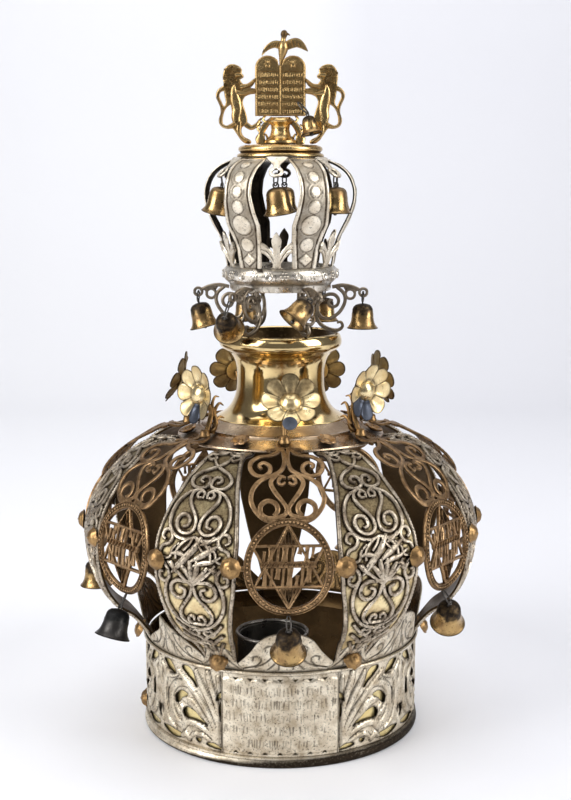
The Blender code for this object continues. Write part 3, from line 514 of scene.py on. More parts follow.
def chased(s, z):
    return rolled(s, z, relief * LEAF_RISE - WALL_SET_BACK)


band_wall = grid_sheet("band_wall", wall_s, wall_z, band_gap, chased, band_tarnish_and_shade)
fitted(thickened(band_wall, BAND_SHEET), silver, "silver", "base_band")

# The front panel: five rows of shallow ticks, its upper and lower edges cut into small lobes.
panel_s = np.arange(-PANEL_HALF - 0.4, PANEL_HALF + 0.5, 0.42)
panel_z = np.arange(WALL_FOOT, WALL_TOP, 0.46)
flat_s, flat_z = np.meshgrid(panel_s, panel_z)
lobe = 2 * PANEL_HALF / 8
phase = np.abs((flat_s / lobe) % 1 - 0.5) * 2
edge_in = np.minimum(flat_z - 6.4, 51.6 - flat_z)
notch_gap = (1 - phase) * lobe / 2 * 0.9 + (edge_in - 1.2) * 0.9 - 0.9
panel_gap = np.where(np.abs(flat_s) < PANEL_HALF - 3, notch_gap, FAR)
panel_gap = np.where(edge_in < 0.9, FAR, panel_gap)
panel_gap = np.minimum(panel_gap, 2.0)
raised = np.clip((edge_in - 2.2 + 1.2 * (1 - phase)) / 0.8, 0, 1)
raised = raised * np.clip((PANEL_HALF - np.abs(flat_s)) / 0.8, 0, 1)
dice = random.Random(7)
ticks = []
for row, (start, stop) in enumerate(((-27, 31), (-30, 31), (-30, 30), (-31, 25), (-17, 22))):
    middle, s = 43.6 - 7.5 * row, start
    while s < stop:
        tall = dice.choice((0.4, 1.2, 1.9, 2.1, 2.1))
        low = middle + dice.choice((2.1 - tall, 0.0, tall - 2.1)) * dice.random()
        lean = dice.uniform(-0.22, 0.22)
        ticks.append([(s - lean, low - tall, 0.16), (s + lean, low + tall, dice.choice((0.2, 0.3, 0.5)))])
        s += dice.choice((1.3, 1.7, 2.1, 2.6, 4.0))
cut_in = np.zeros(flat_s.shape)
for tick in ticks:
    (s0, z0, _), (s1, z1, _) = tick
    box = (np.abs(flat_s - (s0 + s1) / 2) < 3) & (np.abs(flat_z - (z0 + z1) / 2) < 4)
    gap, _ = near(flat_s[box], flat_z[box], tick)
    cut_in[box] = np.maximum(cut_in[box], np.clip(1 - gap / 0.25, 0, 1))
worn_away = np.array([[0.35 + 0.65 * abs(math.sin(0.21 * s + 0.13 * z) * math.cos(0.17 * z - 0.1 * s))
                       for s in panel_s] for z in panel_z])
# Darkness on the panel: worn tarnish in the ticks, tarnish and painted shade along the cut lobes, and the
# dark joints at its sides.
panel_tarnish_and_shade = 0.7 * cut_in * worn_away + 0.9 * np.clip(1 - np.abs(panel_gap) / 0.8, 0, 1)
side_seam = np.clip(1 - np.abs(PANEL_HALF - 0.4 - np.abs(flat_s)) / 0.8, 0, 1)
panel_tarnish_and_shade = np.maximum(panel_tarnish_and_shade, 0.85 * side_seam)


def ticked(s, z):
    return rolled(s, z, PANEL_OUT + PANEL_RISE * raised - TICK_DEPTH * cut_in)


band_panel = grid_sheet("band_panel", panel_s, panel_z, panel_gap, ticked, panel_tarnish_and_shade)
fitted(thickened(band_panel, BAND_SHEET), silver, "silver")

# ---------------------------------------------------------------------------------------------
# The band's edges: its foot is rolled into a bead of silver, dented, and darker towards its bottom,
# the dark reaching higher on the right; and a round silver wire is soldered on where the cresting begins.
# The dents are waves round the foot: how many of each, and the size of the longest.
SCUFF_WAVES = (3, 7, 13, 23, 41, 67)
SCUFF_SIZE = 0.22
foot_ring = [(79.2, 1.2), (79.4, 0.0), (80.6, 0.05), (81.4, 0.7), (81.7, 1.8), (81.5, 3.0), (80.9, 3.8),
             (80.8, 4.3), (81.2, 4.9), (81.1, 5.7), (80.5, 6.2), (79.3, 6.4), (79.2, 1.2)]
foot = lathe("band_foot", foot_ring, turns=220)
scuffs = random.Random(3)
waves = [(scuffs.uniform(0, 6.28), n, SCUFF_SIZE / n**0.4) for n in SCUFF_WAVES]
foot_dark = []
for vertex in foot.data.vertices:
    turn = math.atan2(vertex.co.x, -vertex.co.y)
    swell = sum(size * math.sin(n * turn + start) for start, n, size in waves)
    if vertex.co.z > 0.0003:
        vertex.co.xy *= 1 + 0.0045 * swell * min(1, vertex.co.z / 0.004)
    toward_right = 0.5 + 0.5 * math.cos(turn - 1.0)
    low = max(0.0, 1 - vertex.co.z / (MM * max(0.4, 1.0 + 10.0 * toward_right**2.5 + 2.6 * swell)))
    foot_dark.append(min(1.0, 1.9 * low))
fitted(darkened(foot, foot_dark), silver, "silver")

band_wire = lathe("band_wire", [(81.0 + 0.95 * math.cos(a), 54.1 + 0.95 * math.sin(a))
                                for a in np.linspace(0, 2 * math.pi, 13)], turns=220)
fitted(band_wire, silver, "silver")


# ---------------------------------------------------------------------------------------------
# The cresting: seven pointed silver lobes cut from the band's sheet, engraved with curls and leaning
# out, and seven small tabs between them that are riveted to the staves' feet. The lobe on the left
# front is bent and its tip is torn over.
CREST_FOOT, LEAN_START = 54.2, 55.5
LOBE_LEAN, TAB_LEAN = 0.3, 0.62
STAVES = 7
LOBE_AZIMUTHS = [2.3 + 360 / STAVES * k for k in range(STAVES)]
TAB_AZIMUTHS = [28.0 + 360 / STAVES * k for k in range(STAVES)]
LOBE_EDGE = [(0, 79.2), (2, 78.9), (4.5, 78.2), (6.5, 77.2), (8.5, 75.6), (10.2, 73.4), (11.6, 70.8),
             (13, 67.6), (14.9, 64.5), (17, 61.5), (19.4, 58.6)]
BENT_EDGE = [(-23.0, 57.0), (-21.9, 55.7), (-13.4, 62.7), (-7.0, 67.4), (-5.2, 69.7), (-5.6, 73.4),
             (-6.2, 76.6), (-5.2, 77.2), (-2.9, 76.9), (0, 76.3), (2.6, 75.3), (5.3, 73.1), (7.8, 70.1),
             (10.7, 67.5), (13.7, 64.7), (15.9, 62.6), (19.4, 58.6)]
CURLS = [
    [(-12, 57.5, 0.3), (-8, 60.5, 0.3), (-5, 65, 0.3), (-4.4, 69.4, 0.3), (-6.2, 71.2, 0.3),
     (-8, 69.6, 0.3), (-7.2, 67.2, 0.3)],
    [(-16, 56.6, 0.3), (-11.5, 58.6, 0.3), (-9.4, 62, 0.3), (-10.6, 64.4, 0.3), (-12.8, 63.8, 0.3),
     (-12.4, 61.6, 0.3)],
    [(-3, 56.5, 0.3), (-2.4, 62, 0.3), (-1, 67.5, 0.3), (0, 75, 0.25)],
    [(-7, 56.5, 0.3), (-4.4, 60, 0.3), (-2.8, 64.6, 0.3)],
    [(-3.4, 71.6, 0.25), (-2, 73.6, 0.25), (-1.2, 76.4, 0.25)],
]


def grid_faces(rows, columns):
    """The four-sided faces of a grid of points that is listed row by row."""
    return [(r * columns + c, r * columns + c + 1, (r + 1) * columns + c + 1, (r + 1) * columns + c)
            for r in range(rows - 1) for c in range(columns - 1)]


def lobe_sheet(name, azimuth, edge, out, cells=(64, 30)):
    """One lobe of the cresting: edge gives its height by degrees either side, out how far it leans."""
    offsets = np.linspace(edge[0][0], edge[-1][0], cells[0])
    share = np.linspace(0, 1, cells[1])
    top = np.interp(offsets, *zip(*edge))
    a, f = np.meshgrid(offsets, share)
    z = CREST_FOOT + (top - CREST_FOOT) * f
    s = a * BAND_RADIUS * math.pi / 180
    engraved = np.full(a.shape, FAR)
    for curl in CURLS:
        line = [(p * 1.4, q, w) for p, q, w in through(curl, 4)]
        engraved = np.minimum(engraved, near(-np.abs(s), z, line)[0])
    cut = np.clip(1 - np.maximum(engraved, 0) / 0.35, 0, 1)
    reach = BAND_RADIUS + 0.2 + out(a, z) - 0.3 * cut
    turn = np.radians(azimuth + a)
    points = points_of(reach * np.sin(turn), -reach * np.cos(turn), z)
    rim = np.clip(1 - (top - z) / 0.8, 0, 1) * 0.35
    made = object_of(name, points, grid_faces(cells[1], cells[0]), 60)
    return thickened(darkened(made, np.maximum(0.85 * cut, rim)), BAND_SHEET)


def leaning(a, z):
    """How far a lobe stands out at each height."""
    return LOBE_LEAN * np.clip(z - LEAN_START, 0, None)


def bent_over(a, z):
    """The damaged lobe, pushed in on its left side."""
    return leaning(a, z) - 0.045 * np.clip(z - 66, 0, None) * np.clip(-a, -4, 6)


def faces_inward(face):
    """True for a face that looks towards the crown's axis."""
    return face.normal.xy.dot(face.center.xy) < -0.01


def both_ways(edge):
    """An even edge from its right half."""
    return [(-a, z) for a, z in edge[:0:-1]] + edge


shapes = [(both_ways(LOBE_EDGE), leaning)] * (STAVES - 1) + [(BENT_EDGE, bent_over)]
lobes = [lobe_sheet("lobe", azimuth, *shape) for azimuth, shape in zip(LOBE_AZIMUTHS, shapes)]
TAB_EDGE = [(0, 70.4), (2, 70.2), (4, 69.2), (5.4, 67.4), (6.2, 65), (6.5, 61), (7.2, 58), (9.2, 56.4)]


def tab_lean(a, z):
    """The tabs stand out round the staves' feet and are cupped behind their rivets."""
    return TAB_LEAN * np.clip(z - LEAN_START, 0, None) - 1.4 * (a / 7) ** 2 * np.clip((z - 56) / 8, 0, 1)


tabs = [lobe_sheet("tab", azimuth, both_ways(TAB_EDGE), tab_lean, (30, 20)) for azimuth in TAB_AZIMUTHS]
cresting = joined("band_cresting", lobes + tabs)
fitted(cresting, silver, "silver")
# The lobes' and tabs' inward faces get the dark brown inside finish: painted shade.
lined(cresting, painted_shade_inside, faces_inward)


# ---------------------------------------------------------------------------------------------
# The seven staves: arched gilt straps from the base up to the neck's flange, each with a pierced
# and chased silver overlay of curls round a spray of leaves, and a milled border down both edges.
STAVE_LINE = [(76.8, 49), (77, 54), (80.2, 59.2), (90.2, 71.6), (98.6, 77.8), (106.6, 88), (111.4, 100),
              (113.6, 113.5), (113, 124.5), (109.6, 136), (103.6, 146.2), (96, 155.4), (88, 163),
              (80, 168.2), (71, 171.6), (60.5, 171.0), (52, 173.2)]
STAVE_HALF = [(0, 8.5), (12, 9.2), (24, 11.6), (40.6, 16.2), (52, 18.8), (63.5, 21.2), (72, 23), (87, 24.3),
              (98, 23.9), (107, 22.3), (117, 20), (128, 16.8), (139, 14), (150, 11), (174, 8.5)]
STAVE_SHEET = 1.2
# Half of the overlay's curls, mirrored about the stave's middle: across, along from the foot, half width.
CURL_HALF = [
    [(0.3, 163, 0.7), (-3.0, 158.5, 0.8), (-6.6, 158.2, 0.8), (-8.2, 160.8, 0.8), (-6.4, 162.8, 0.7),
     (-4.6, 161.2, 0.6)],
    [(-0.4, 157, 0.7), (-4.2, 153.2, 0.8), (-8.4, 153.0, 0.8), (-9.4, 149.6, 0.8), (-6.4, 147.8, 0.8),
     (-4.2, 149.8, 0.7), (-5.6, 151.2, 0.6)],
    [(4.6, 148.6, 0.8), (1.4, 143.6, 0.9), (-3.2, 140.4, 1.0), (-8.4, 137, 1.0), (-11.2, 132.8, 1.0),
     (-9.8, 128.8, 1.0), (-5.6, 127.2, 1.0), (-1.6, 128.4, 1.0), (-0.4, 131.6, 1.0), (-2.2, 134.6, 0.9),
     (-5.0, 134.4, 0.9), (-5.8, 132, 0.8), (-3.8, 130.8, 0.7)],
    [(-2.0, 121.6, 0.7), (-4.0, 121.6, 0.8), (-4.8, 123.6, 0.9), (-2.8, 125.4, 0.9), (-0.9, 124.2, 0.9),
     (-1.2, 121.2, 0.7)],
    [(-1.2, 124.6, 0.8), (-3.4, 126.2, 1.0), (-7.0, 125.2, 1.0), (-8.2, 121.4, 1.0), (-6.6, 117, 1.0),
     (-3.4, 112.6, 1.0), (-1.3, 108, 1.0), (-1.6, 104, 1.0), (-4.6, 101.6, 1.0), (-8.6, 101.8, 1.0),
     (-11.6, 104.4, 1.1), (-12.4, 108, 1.1), (-10.4, 111.2, 1.1), (-7.0, 111.2, 1.0), (-5.0, 108.6, 1.0),
     (-5.6, 105.6, 0.9), (-8.2, 104.8, 0.8)],
    [(-4.6, 126.6, 0.9), (-10.6, 123.6, 1.0), (-15.2, 117.4, 1.0), (-16.9, 110, 1.0), (-15.6, 103.8, 1.0),
     (-11.2, 99.6, 1.0), (-5.4, 98.4, 1.0), (0, 99.8, 1.0)],
    [(-20.2, 90.6, 0.8), (-18.6, 93.8, 0.9), (-14.8, 95.4, 1.0), (-13.0, 98.8, 1.0), (-14.8, 102.2, 1.0),
     (-18.0, 102, 1.0), (-19.2, 98.8, 0.9), (-17.2, 97.2, 0.7)],
    [(-1.4, 99.6, 0.8), (-6.0, 97, 0.9), (-9.4, 92.8, 0.9), (-9.8, 88, 0.8)],
    [(-0.6, 100, 0.8), (-2.6, 96, 0.8), (-5.6, 92.6, 0.7)],
    [(-8.4, 96.2, 0.7), (-12, 93, 0.7), (-13.6, 88.4, 0.7), (-19.4, 87.6, 0.8)],
    [(-20.6, 87, 0.7), (-17.2, 85.4, 0.9), (-14.2, 82, 1.0), (-13.8, 78, 1.0), (-16.4, 75.6, 1.0),
     (-19.4, 77, 1.0), (-19.4, 80.4, 0.9), (-17.2, 80.6, 0.7)],
    [(-12.6, 86.6, 0.7), (-9.4, 82.4, 0.9), (-4.6, 78.2, 1.0), (0, 75, 1.0)],
    [(-0.6, 77.6, 0.9), (-4.0, 76.8, 1.0), (-8.8, 77, 1.1), (-12.4, 74.4, 1.1), (-12.6, 70, 1.1),
     (-9.2, 67.2, 1.1), (-5.4, 68.6, 1.0), (-4.6, 72.2, 0.9), (-7.6, 73.6, 0.8)],
    [(-14.6, 76.4, 0.9), (-16.6, 70.6, 1.0), (-16.2, 63, 1.0), (-12.8, 56, 1.0), (-7.2, 50.6, 1.0),
     (0, 47, 1.0)],
    [(0, 75, 1.0), (-1.8, 69.4, 1.0), (-5.8, 64, 1.0), (-8.8, 59, 1.0), (-8.4, 54.6, 1.0),
     (-4.8, 51.4, 0.9)],
    [(0, 51.8, 0.8), (-3.0, 51.8, 0.8), (-4.9, 54, 0.8), (-3.7, 56.8, 0.8), (-1.3, 56.4, 0.8),
     (-1.5, 54.2, 0.6)],
    [(-5.2, 47.8, 0.8), (-7.4, 44.6, 0.9), (-4.6, 42, 0.9), (-1.6, 43.8, 0.9), (-2.4, 46.8, 0.8),
     (-4.8, 46.4, 0.6)],
    [(-13.2, 52, 0.8), (-9.6, 47.4, 0.9), (-2.2, 40.6, 1.0), (5.0, 33, 0.9)],
    [(-11.6, 43, 0.8), (-6.4, 37.4, 0.9), (-1.0, 30, 0.9), (0, 22, 0.8)],
    [(-8.4, 33, 0.7), (-5.4, 27, 0.8), (-2.2, 20, 0.8), (0, 14, 0.7)],
]
# The spray in the middle, which is uneven: leaves and a long feathered stem across it.
SPRAY = [
    [(-12.2, 80.6, 0.5), (-7.4, 85.4, 1.3), (-2.2, 91.2, 1.6), (1.8, 96.4, 1.5), (3.8, 100.4, 0.8)],
    [(-9.8, 84.8, 0.5), (-5.4, 89.2, 0.9), (-1.6, 93.4, 0.8)],
    [(-1.0, 87.4, 0.6), (4.2, 90.6, 1.5), (9.4, 93.8, 1.4), (14.2, 96.8, 0.5)],
    [(0.4, 85.2, 0.6), (5.6, 87.2, 1.2), (10.8, 88.2, 1.0), (15.6, 91, 0.5)],
    [(-3.0, 89.4, 0.6), (-8.4, 91, 1.2), (-13.4, 90.4, 0.5)],
    [(0, 76.2, 0.8), (-2.6, 81, 1.3), (-6.2, 85, 0.8)],
    [(0, 76.2, 0.8), (-0.8, 82, 1.4), (-1.8, 88, 0.9)],
    [(0, 76.2, 0.8), (2.2, 82, 1.4), (2.6, 88, 0.9)],
    [(0, 76.2, 0.8), (4.8, 80.2, 1.2), (8.6, 85.2, 0.8)],
    [(8.8, 84.6, 0.5), (12.2, 83.6, 1.3), (14.4, 80.2, 0.8)],
    [(3.6, 96.2, 0.5), (7.6, 97.6, 1.0), (11.2, 101, 0.5)],
    [(-14.8, 86.2, 0.5), (-12.2, 84.6, 1.3), (-8.8, 80.8, 0.5)],
]


def rail_of(profile, steps):
    """A profile of (radius, height) as points with their running length and outward normals."""
    line = through(profile, steps)
    run = np.gradient(line, axis=0)
    run /= np.hypot(run[:, 0], run[:, 1])[:, None]
    length = np.concatenate(([0], np.cumsum(np.hypot(*np.diff(line, axis=0).T))))
    return length, line, np.stack((run[:, 1], -run[:, 0]), 1)


def over_rail(rail, round_axis):
    """Lays flat drawings on a rail: (across, along, out) in millimetres becomes x, y, z. Across goes
    round the crown's axis, or stays straight for a piece that is bent one way only."""
    length, line, outward = rail

    def place(flat):
        r, z = (np.interp(flat[:, 1], length, line[:, k]) for k in (0, 1))
        out_r, out_z = (np.interp(flat[:, 1], length, outward[:, k]) for k in (0, 1))
        reach = r + out_r * flat[:, 2]
        if round_axis:
            turn = flat[:, 0] / r
            return points_of(reach * np.sin(turn), -reach * np.cos(turn), z + out_z * flat[:, 2])
        return points_of(flat[:, 0], -reach, z + out_z * flat[:, 2])
    return place


# Cross-sections of a strip, as shares of its half width across and of its rise.
CHASED = [(-1, 0), (-0.94, 0.7), (-0.6, 0.95), (0, 0.84), (0.6, 0.95), (0.94, 0.7), (1, 0)]
ROUNDED = [(-1, 0), (-0.85, 0.62), (-0.4, 0.95), (0.4, 0.95), (0.85, 0.62), (1, 0)]
CAST = [(-1, -0.25), (-1, 0.28), (-0.6, 0.5), (0, 0.4), (0.6, 0.5), (1, 0.28), (1, -0.25), (0.6, -0.5),
        (-0.6, -0.5)]


def strips(name, strokes, place, rise, shape, steps=4, milled=0.0):
    """Solid strips along the strokes, each a smooth line of (across, along, half width)."""
    points, faces, start = [], [], 0
    ring = len(shape)
    for stroke in strokes:
        line = through(stroke, steps)
        run = np.gradient(line[:, :2], axis=0)
        run /= np.maximum(np.hypot(run[:, 0], run[:, 1]), 1e-6)[:, None]
        lift = rise * np.where(np.arange(len(line)) % 2, 1.0, 1.0 - milled)
        for across, up in shape:
            points.append(points_of(line[:, 0] - run[:, 1] * across * line[:, 2],
                                    line[:, 1] + run[:, 0] * across * line[:, 2], up * lift))
        count = len(line)
        index = start + np.arange(ring * count).reshape(ring, count)
        start += ring * count
        for k in range(ring):
            here, beside = index[k], index[(k + 1) % ring]
            faces.extend(np.stack((here[:-1], here[1:], beside[1:], beside[:-1]), 1).tolist())
        faces.append(tuple(index[:, 0].tolist()))
        faces.append(tuple(index[::-1, -1].tolist()))
    return object_of(name, place(np.concatenate(points)), faces, 50)


def mirrored(strokes):
    """The strokes, followed by their mirror images."""
    return strokes + [[(-x, *rest) for x, *rest in stroke[::-1]] for stroke in strokes]


def turned(degrees, axis="Z"):
    return Matrix.Rotation(math.radians(degrees), 4, axis)


def set_round(model, name, azimuths, finish, slot, node=""):
    """Places copies of a piece modelled at the front round the crown, each with its own mesh."""
    copies = []
    for k, azimuth in enumerate(azimuths):
        copy = model.copy()
        copy.data = model.data.copy()
        copy.name = copy.data.name = f"{name}_{k + 1}"
        bpy.context.scene.collection.objects.link(copy)
        copy.data.transform(turned(azimuth))
        copies.append(fitted(copy, finish, slot, *([f"{node}_{k + 1}"] if node else [])))
    bpy.data.objects.remove(model)
    return copies


def shaded(made, amount):
    """Marks how dark each vertex is, from a rule that reads its place in millimetres."""
    places = np.array([v.co for v in made.data.vertices]) / MM
    return darkened(made, np.clip(amount(places), 0, 1))


def edge_of(length, spare):
    """How far the stave's edge is from its middle at a length from its foot, less something to spare."""
    return np.interp(length, *zip(*STAVE_HALF)) - spare


stave_rail = rail_of(STAVE_LINE, 8)
stave_place = over_rail(stave_rail, True)
STAVE_LENGTH = stave_rail[0][-1]
border_v = np.arange(0.5, STAVE_LENGTH - 0.5, 0.9)
borders = [[(side * edge_of(v, 1.1), v, 1.05) for v in border_v] for side in (-1, 1)]
curls = mirrored(CURL_HALF)

BACK_ROWS, BACK_COLUMNS = 108, 32
INNER_PAINTED_SHADE = 0.55
share, along = np.meshgrid(np.linspace(-1, 1, BACK_COLUMNS), np.linspace(0, STAVE_LENGTH, BACK_ROWS))
across = share * edge_of(along, 0)
beside = np.full(across.shape, FAR)
for stroke in curls + SPRAY:
    beside = np.minimum(beside, near(across, along, through(stroke, 3))[0])
beside = np.minimum(beside, edge_of(along, 2.0) - np.abs(across))
back_faces = grid_faces(BACK_ROWS, BACK_COLUMNS)
back_points = stave_place(points_of(across, along, np.zeros(across.shape)))
stave_back = object_of("stave_back", back_points, back_faces, 60)
dull_top = 0.66 * np.clip((along - 80) / 30, 0, 1) + 0.12 * np.clip((along - 50) / 30, 0, 1)
# Painted shadow and tarnish: the backing darkens round every stroke of the overlay, borders included.
outline = 0.97 * np.clip(1.25 - np.maximum(beside, 0) / 0.95, 0, 1)
thickened(darkened(stave_back, np.maximum(dull_top, outline)), STAVE_SHEET)
# Its inner faces are painted evenly dark: painted shade.
for mark in stave_back.data.attributes["tarnish_and_shade"].data[across.size:]:
    mark.value = INNER_PAINTED_SHADE

old_gilt = polished_metal("stave_gilt", (0.95, 0.8, 0.46), (0.7, 0.53, 0.29), (0.034, 0.021, 0.012),
                          rough=(0.34, 0.48), spots=0.6, tarnish_and_shade_in_hollows=0.9, dents=0.35, patch=220, reach=0.003)
filigree_silver = polished_metal("filigree_silver", (0.76, 0.66, 0.52), (0.26, 0.2, 0.14),
                                 (0.02, 0.013, 0.009), rough=(0.28, 0.46), spots=1.0, tarnish_and_shade_in_hollows=1.0,
                                 dents=1.1, grain=700, reach=0.002)
overlay = joined("overlay", [
    strips("curls", curls, stave_place, 1.6, CHASED, milled=0.1),
    strips("spray", [[(x, v, 1.3 * w) for x, v, w in leaf] for leaf in SPRAY], stave_place, 1.8, ROUNDED,
           steps=5, milled=0.2),
    strips("borders", borders, stave_place, 1.5, ROUNDED, steps=1, milled=0.42),
])
shaded(overlay, lambda p: 0.38 * np.clip((p[:, 2] - 112) / 36, 0, 1))
# The inner faces also take the dark brown inside finish: painted shade.
for stave in set_round(stave_back, "stave_back", TAB_AZIMUTHS, old_gilt, "stave_silver", "stave"):
    lined(stave, painted_shade_inside, lambda face: face.index >= len(back_faces))
set_round(overlay, "stave_overlay", TAB_AZIMUTHS, filigree_silver, "stave_silver")


# ---------------------------------------------------------------------------------------------
# The seven medallions: red-gold castings hung between the staves, each a beaded ring round a
# six-pointed star with open strokes, under a lyre and two C-scrolls that bolt to the flange.
MEDALLION_LINE = [(110.6, 97.5), (112, 104), (112.6, 112), (112.4, 120), (111.6, 127.5), (109.8, 135),
                  (106.6, 143.5), (101.3, 152.3), (94.8, 160), (87.5, 166), (77, 171.8), (67, 175.4),
                  (60.5, 175), (53, 177.6)]
RING_MIDDLE = 25.2
RING_WIDE = 21.3
RING_TALL = 23.5
MEDALLION_THICK = 1.7
SCROLL_HALF = [
    [(-1.0, 50.6, 1.1), (-6.4, 48.8, 1.3), (-12.6, 50.8, 1.3), (-17.2, 55.8, 1.2), (-19.0, 61.4, 1.2),
     (-17.8, 67.4, 1.2), (-13.8, 72.8, 1.2), (-7.6, 76.2, 1.2), (-2.8, 80, 1.2), (-1.0, 86, 1.2),
     (-0.9, 93, 1.2), (-1.8, 100, 1.2)],
    [(-0.9, 71.4, 0.7), (-3.0, 70, 0.9), (-4.6, 71.8, 1.0), (-3.2, 75.0, 1.1), (-0.6, 74.4, 0.9)],
    [(-1.6, 75.2, 0.9), (-5.2, 75.8, 1.1), (-8.2, 72.8, 1.2), (-8.0, 69, 1.2), (-5.8, 64.6, 1.2),
     (-2.6, 60, 1.1), (-0.6, 56.4, 1.1), (-1.4, 53, 1.1), (-5, 51.4, 1.2), (-10.4, 50.8, 1.3),
     (-14, 53.6, 1.3), (-13.8, 58, 1.3), (-10.2, 60.4, 1.3), (-6.2, 58.8, 1.3), (-5.2, 55, 1.2),
     (-7.4, 52.2, 1.1)],
    [(-1.6, 101, 1.1), (-4.2, 96, 1.2), (-8.4, 92.8, 1.2), (-14, 91.4, 1.2), (-18.4, 87, 1.2),
     (-19, 81.4, 1.2), (-16.4, 76.8, 1.2), (-12, 75.8, 1.2), (-8.8, 79, 1.2), (-8.9, 83.8, 1.2),
     (-12, 86.2, 1.1), (-14.4, 84, 1.0), (-13.2, 81.4, 0.9)],
    [(-3.6, 98.4, 1.1), (-7.4, 98.8, 1.2), (-9.4, 97.4, 1.4)],
    [(-3.4, 98.2, 1.3), (-3.6, 104, 1.4), (-3.2, 110.4, 1.3), (0, 112.4, 1.2)],
    [(0, 99.6, 1.2), (-2.6, 101.2, 1.2)],
]
STAR = [
    [(0, 47.6, 0.7), (-17.6, 15.6, 0.7)],
    [(-18.6, 36.6, 0.7), (0, 3.6, 0.7)],
    [(-18.8, 36.6, 0.8), (0.1, 36.6, 0.8)],
    [(-17.8, 15.4, 0.9), (0.1, 15.4, 0.9)],
]
STAR_POINTS = [
    [(0, 47.4, 0.5), (0, 43.4, 2.6), (0, 38.6, 5.6), (0, 36.6, 6.2)],
    [(0, 3.8, 0.5), (0, 8.4, 2.8), (0, 13.4, 5.6), (0, 15.6, 6.2)],
]
VEINS = [
    [(0, 38, 0.25), (0, 45, 0.2)], [(-1.6, 37.6, 0.2), (-1.5, 41.6, 0.2), (-0.5, 44, 0.2)],
    [(-3.6, 37.4, 0.2), (-2.9, 39.6, 0.2)], [(0, 14, 0.25), (0, 6, 0.2)],
    [(-1.7, 14.2, 0.2), (-1.6, 10.4, 0.2), (-0.5, 7.6, 0.2)], [(-3.7, 14.4, 0.2), (-3.0, 12, 0.2)],
]
# Upright strokes of the two open rows, which spell nothing: across, foot, head and half width.
UPRIGHTS = [(-12.6, 28.6, 34.0, 1.0), (-9.2, 28.6, 36.2, 1.4), (-5.4, 28.6, 36.2, 1.0),
            (-1.8, 28.6, 36.2, 1.7), (2.2, 28.6, 36.2, 1.0), (6.0, 32.4, 36.2, 1.3), (9.4, 28.6, 36.2, 1.2),
            (12.6, 30.6, 36.2, 0.9), (-12.2, 15.8, 25.4, 1.3), (-8.8, 15.8, 25.4, 1.0),
            (-5.6, 19.6, 25.4, 1.4), (-2.8, 15.8, 25.4, 1.0), (0.6, 15.8, 25.4, 1.6),
            (4.2, 15.8, 21.6, 1.2), (7.0, 15.8, 25.4, 1.1), (10.4, 17.8, 25.4, 1.5)]


def ring_of(x, z, radius, half, count=15):
    """A round stroke about a point, of that half width."""
    return [(x + radius * math.cos(a), z + radius * math.sin(a), half)
            for a in np.linspace(0, 2 * math.pi, count)]


def scattered(name, model, places):
    """Many copies of one small shape in a single mesh, then the shape itself is thrown away."""
    points = np.array([v.co for v in model.data.vertices]) / MM
    loops = [tuple(p.vertices) for p in model.data.polygons]
    made_points, made_faces = [], []
    for matrix in places:
        turn = np.array(matrix.to_3x3())
        start = len(made_points) * len(points)
        made_points.append(points @ turn.T + np.array(matrix.translation))
        made_faces.extend(tuple(start + v for v in loop) for loop in loops)
    bpy.data.objects.remove(model)
    return object_of(name, np.concatenate(made_points), made_faces, 60)


def bead(radius, detail=1):
    """A small ball."""
    nothing_selected()
    bpy.ops.mesh.primitive_ico_sphere_add(subdivisions=detail, radius=radius * MM)
    return bpy.context.object


def petalled(name, profile, petals, depth, turns=48):
    """A spun cup whose rim is cut into petals: depth is how far they stand out, as a share."""
    made = lathe(name, profile, turns=turns, smooth_angle=60)
    widest = max(r for r, _ in profile) * MM
    for vertex in made.data.vertices:
        turn, reach = math.atan2(vertex.co.y, vertex.co.x), vertex.co.xy.length
        vertex.co.xy *= 1 + depth * min(1, reach / widest) ** 2 * math.cos(petals * turn)
    return made


def facing(azimuth_out, x, y, z, tilt=0.0):
    """Stands a shape spun round Z on a wall: its axis points out at that azimuth and is tilted up."""
    return Matrix.Translation((x, y, z)) @ (turned(azimuth_out) @ turned(90 - tilt, "X"))


medallion_place = over_rail(rail_of(MEDALLION_LINE, 6), False)


def oval(count, third):
    """Points round the medallion's ring from its foot, all with the same third number."""
    return [(RING_WIDE * math.sin(a), RING_MIDDLE - RING_TALL * math.cos(a), third)
            for a in np.linspace(0, 2 * math.pi, count)]


ring_stroke = oval(73, 1.9)
ring_rims = [[(s * k, RING_MIDDLE + (v - RING_MIDDLE) * k, 0.42) for s, v, _ in ring_stroke]
             for k in (0.932, 1.07)]
uprights = [[(x - 0.4, low, half), (x, (low + high) / 2, 0.75 * half), (x + 0.4, high, half)]
            for x, low, high, half in UPRIGHTS]
band_middle = [[(-14.4, 27.0, 1.5), (-7, 27.2, 1.7), (0, 27.0, 1.5), (7, 27.2, 1.7), (14.4, 27.0, 1.5)]]
notches = [[(x, 26, 0.3), (x + 1.4, 28.2, 0.3)] for x in np.arange(-13.5, 13, 2.7)]
casting = [
    strips("scrolls", mirrored(SCROLL_HALF), medallion_place, MEDALLION_THICK, CAST, steps=5, milled=0.12),
    strips("star", mirrored(STAR), medallion_place, MEDALLION_THICK, CAST, steps=8),
    strips("points", STAR_POINTS, medallion_place, 1.3, CAST, steps=3),
    strips("veins", mirrored(VEINS), medallion_place, 2.2, ROUNDED, steps=2),
    strips("strokes", uprights + band_middle, medallion_place, 1.6, CAST, steps=2),
    strips("notches", notches, medallion_place, 2.0, ROUNDED, steps=1),
    strips("ring", [ring_stroke], medallion_place, 1.3, CAST, steps=1),
    strips("ring_rims", ring_rims, medallion_place, 2.0, CAST, steps=1),
]
bead_points = medallion_place(np.array(oval(68, 0.75)[:-1]))
casting.append(scattered("beads", bead(0.85), [Matrix.Translation(p) for p in bead_points.tolist()]))
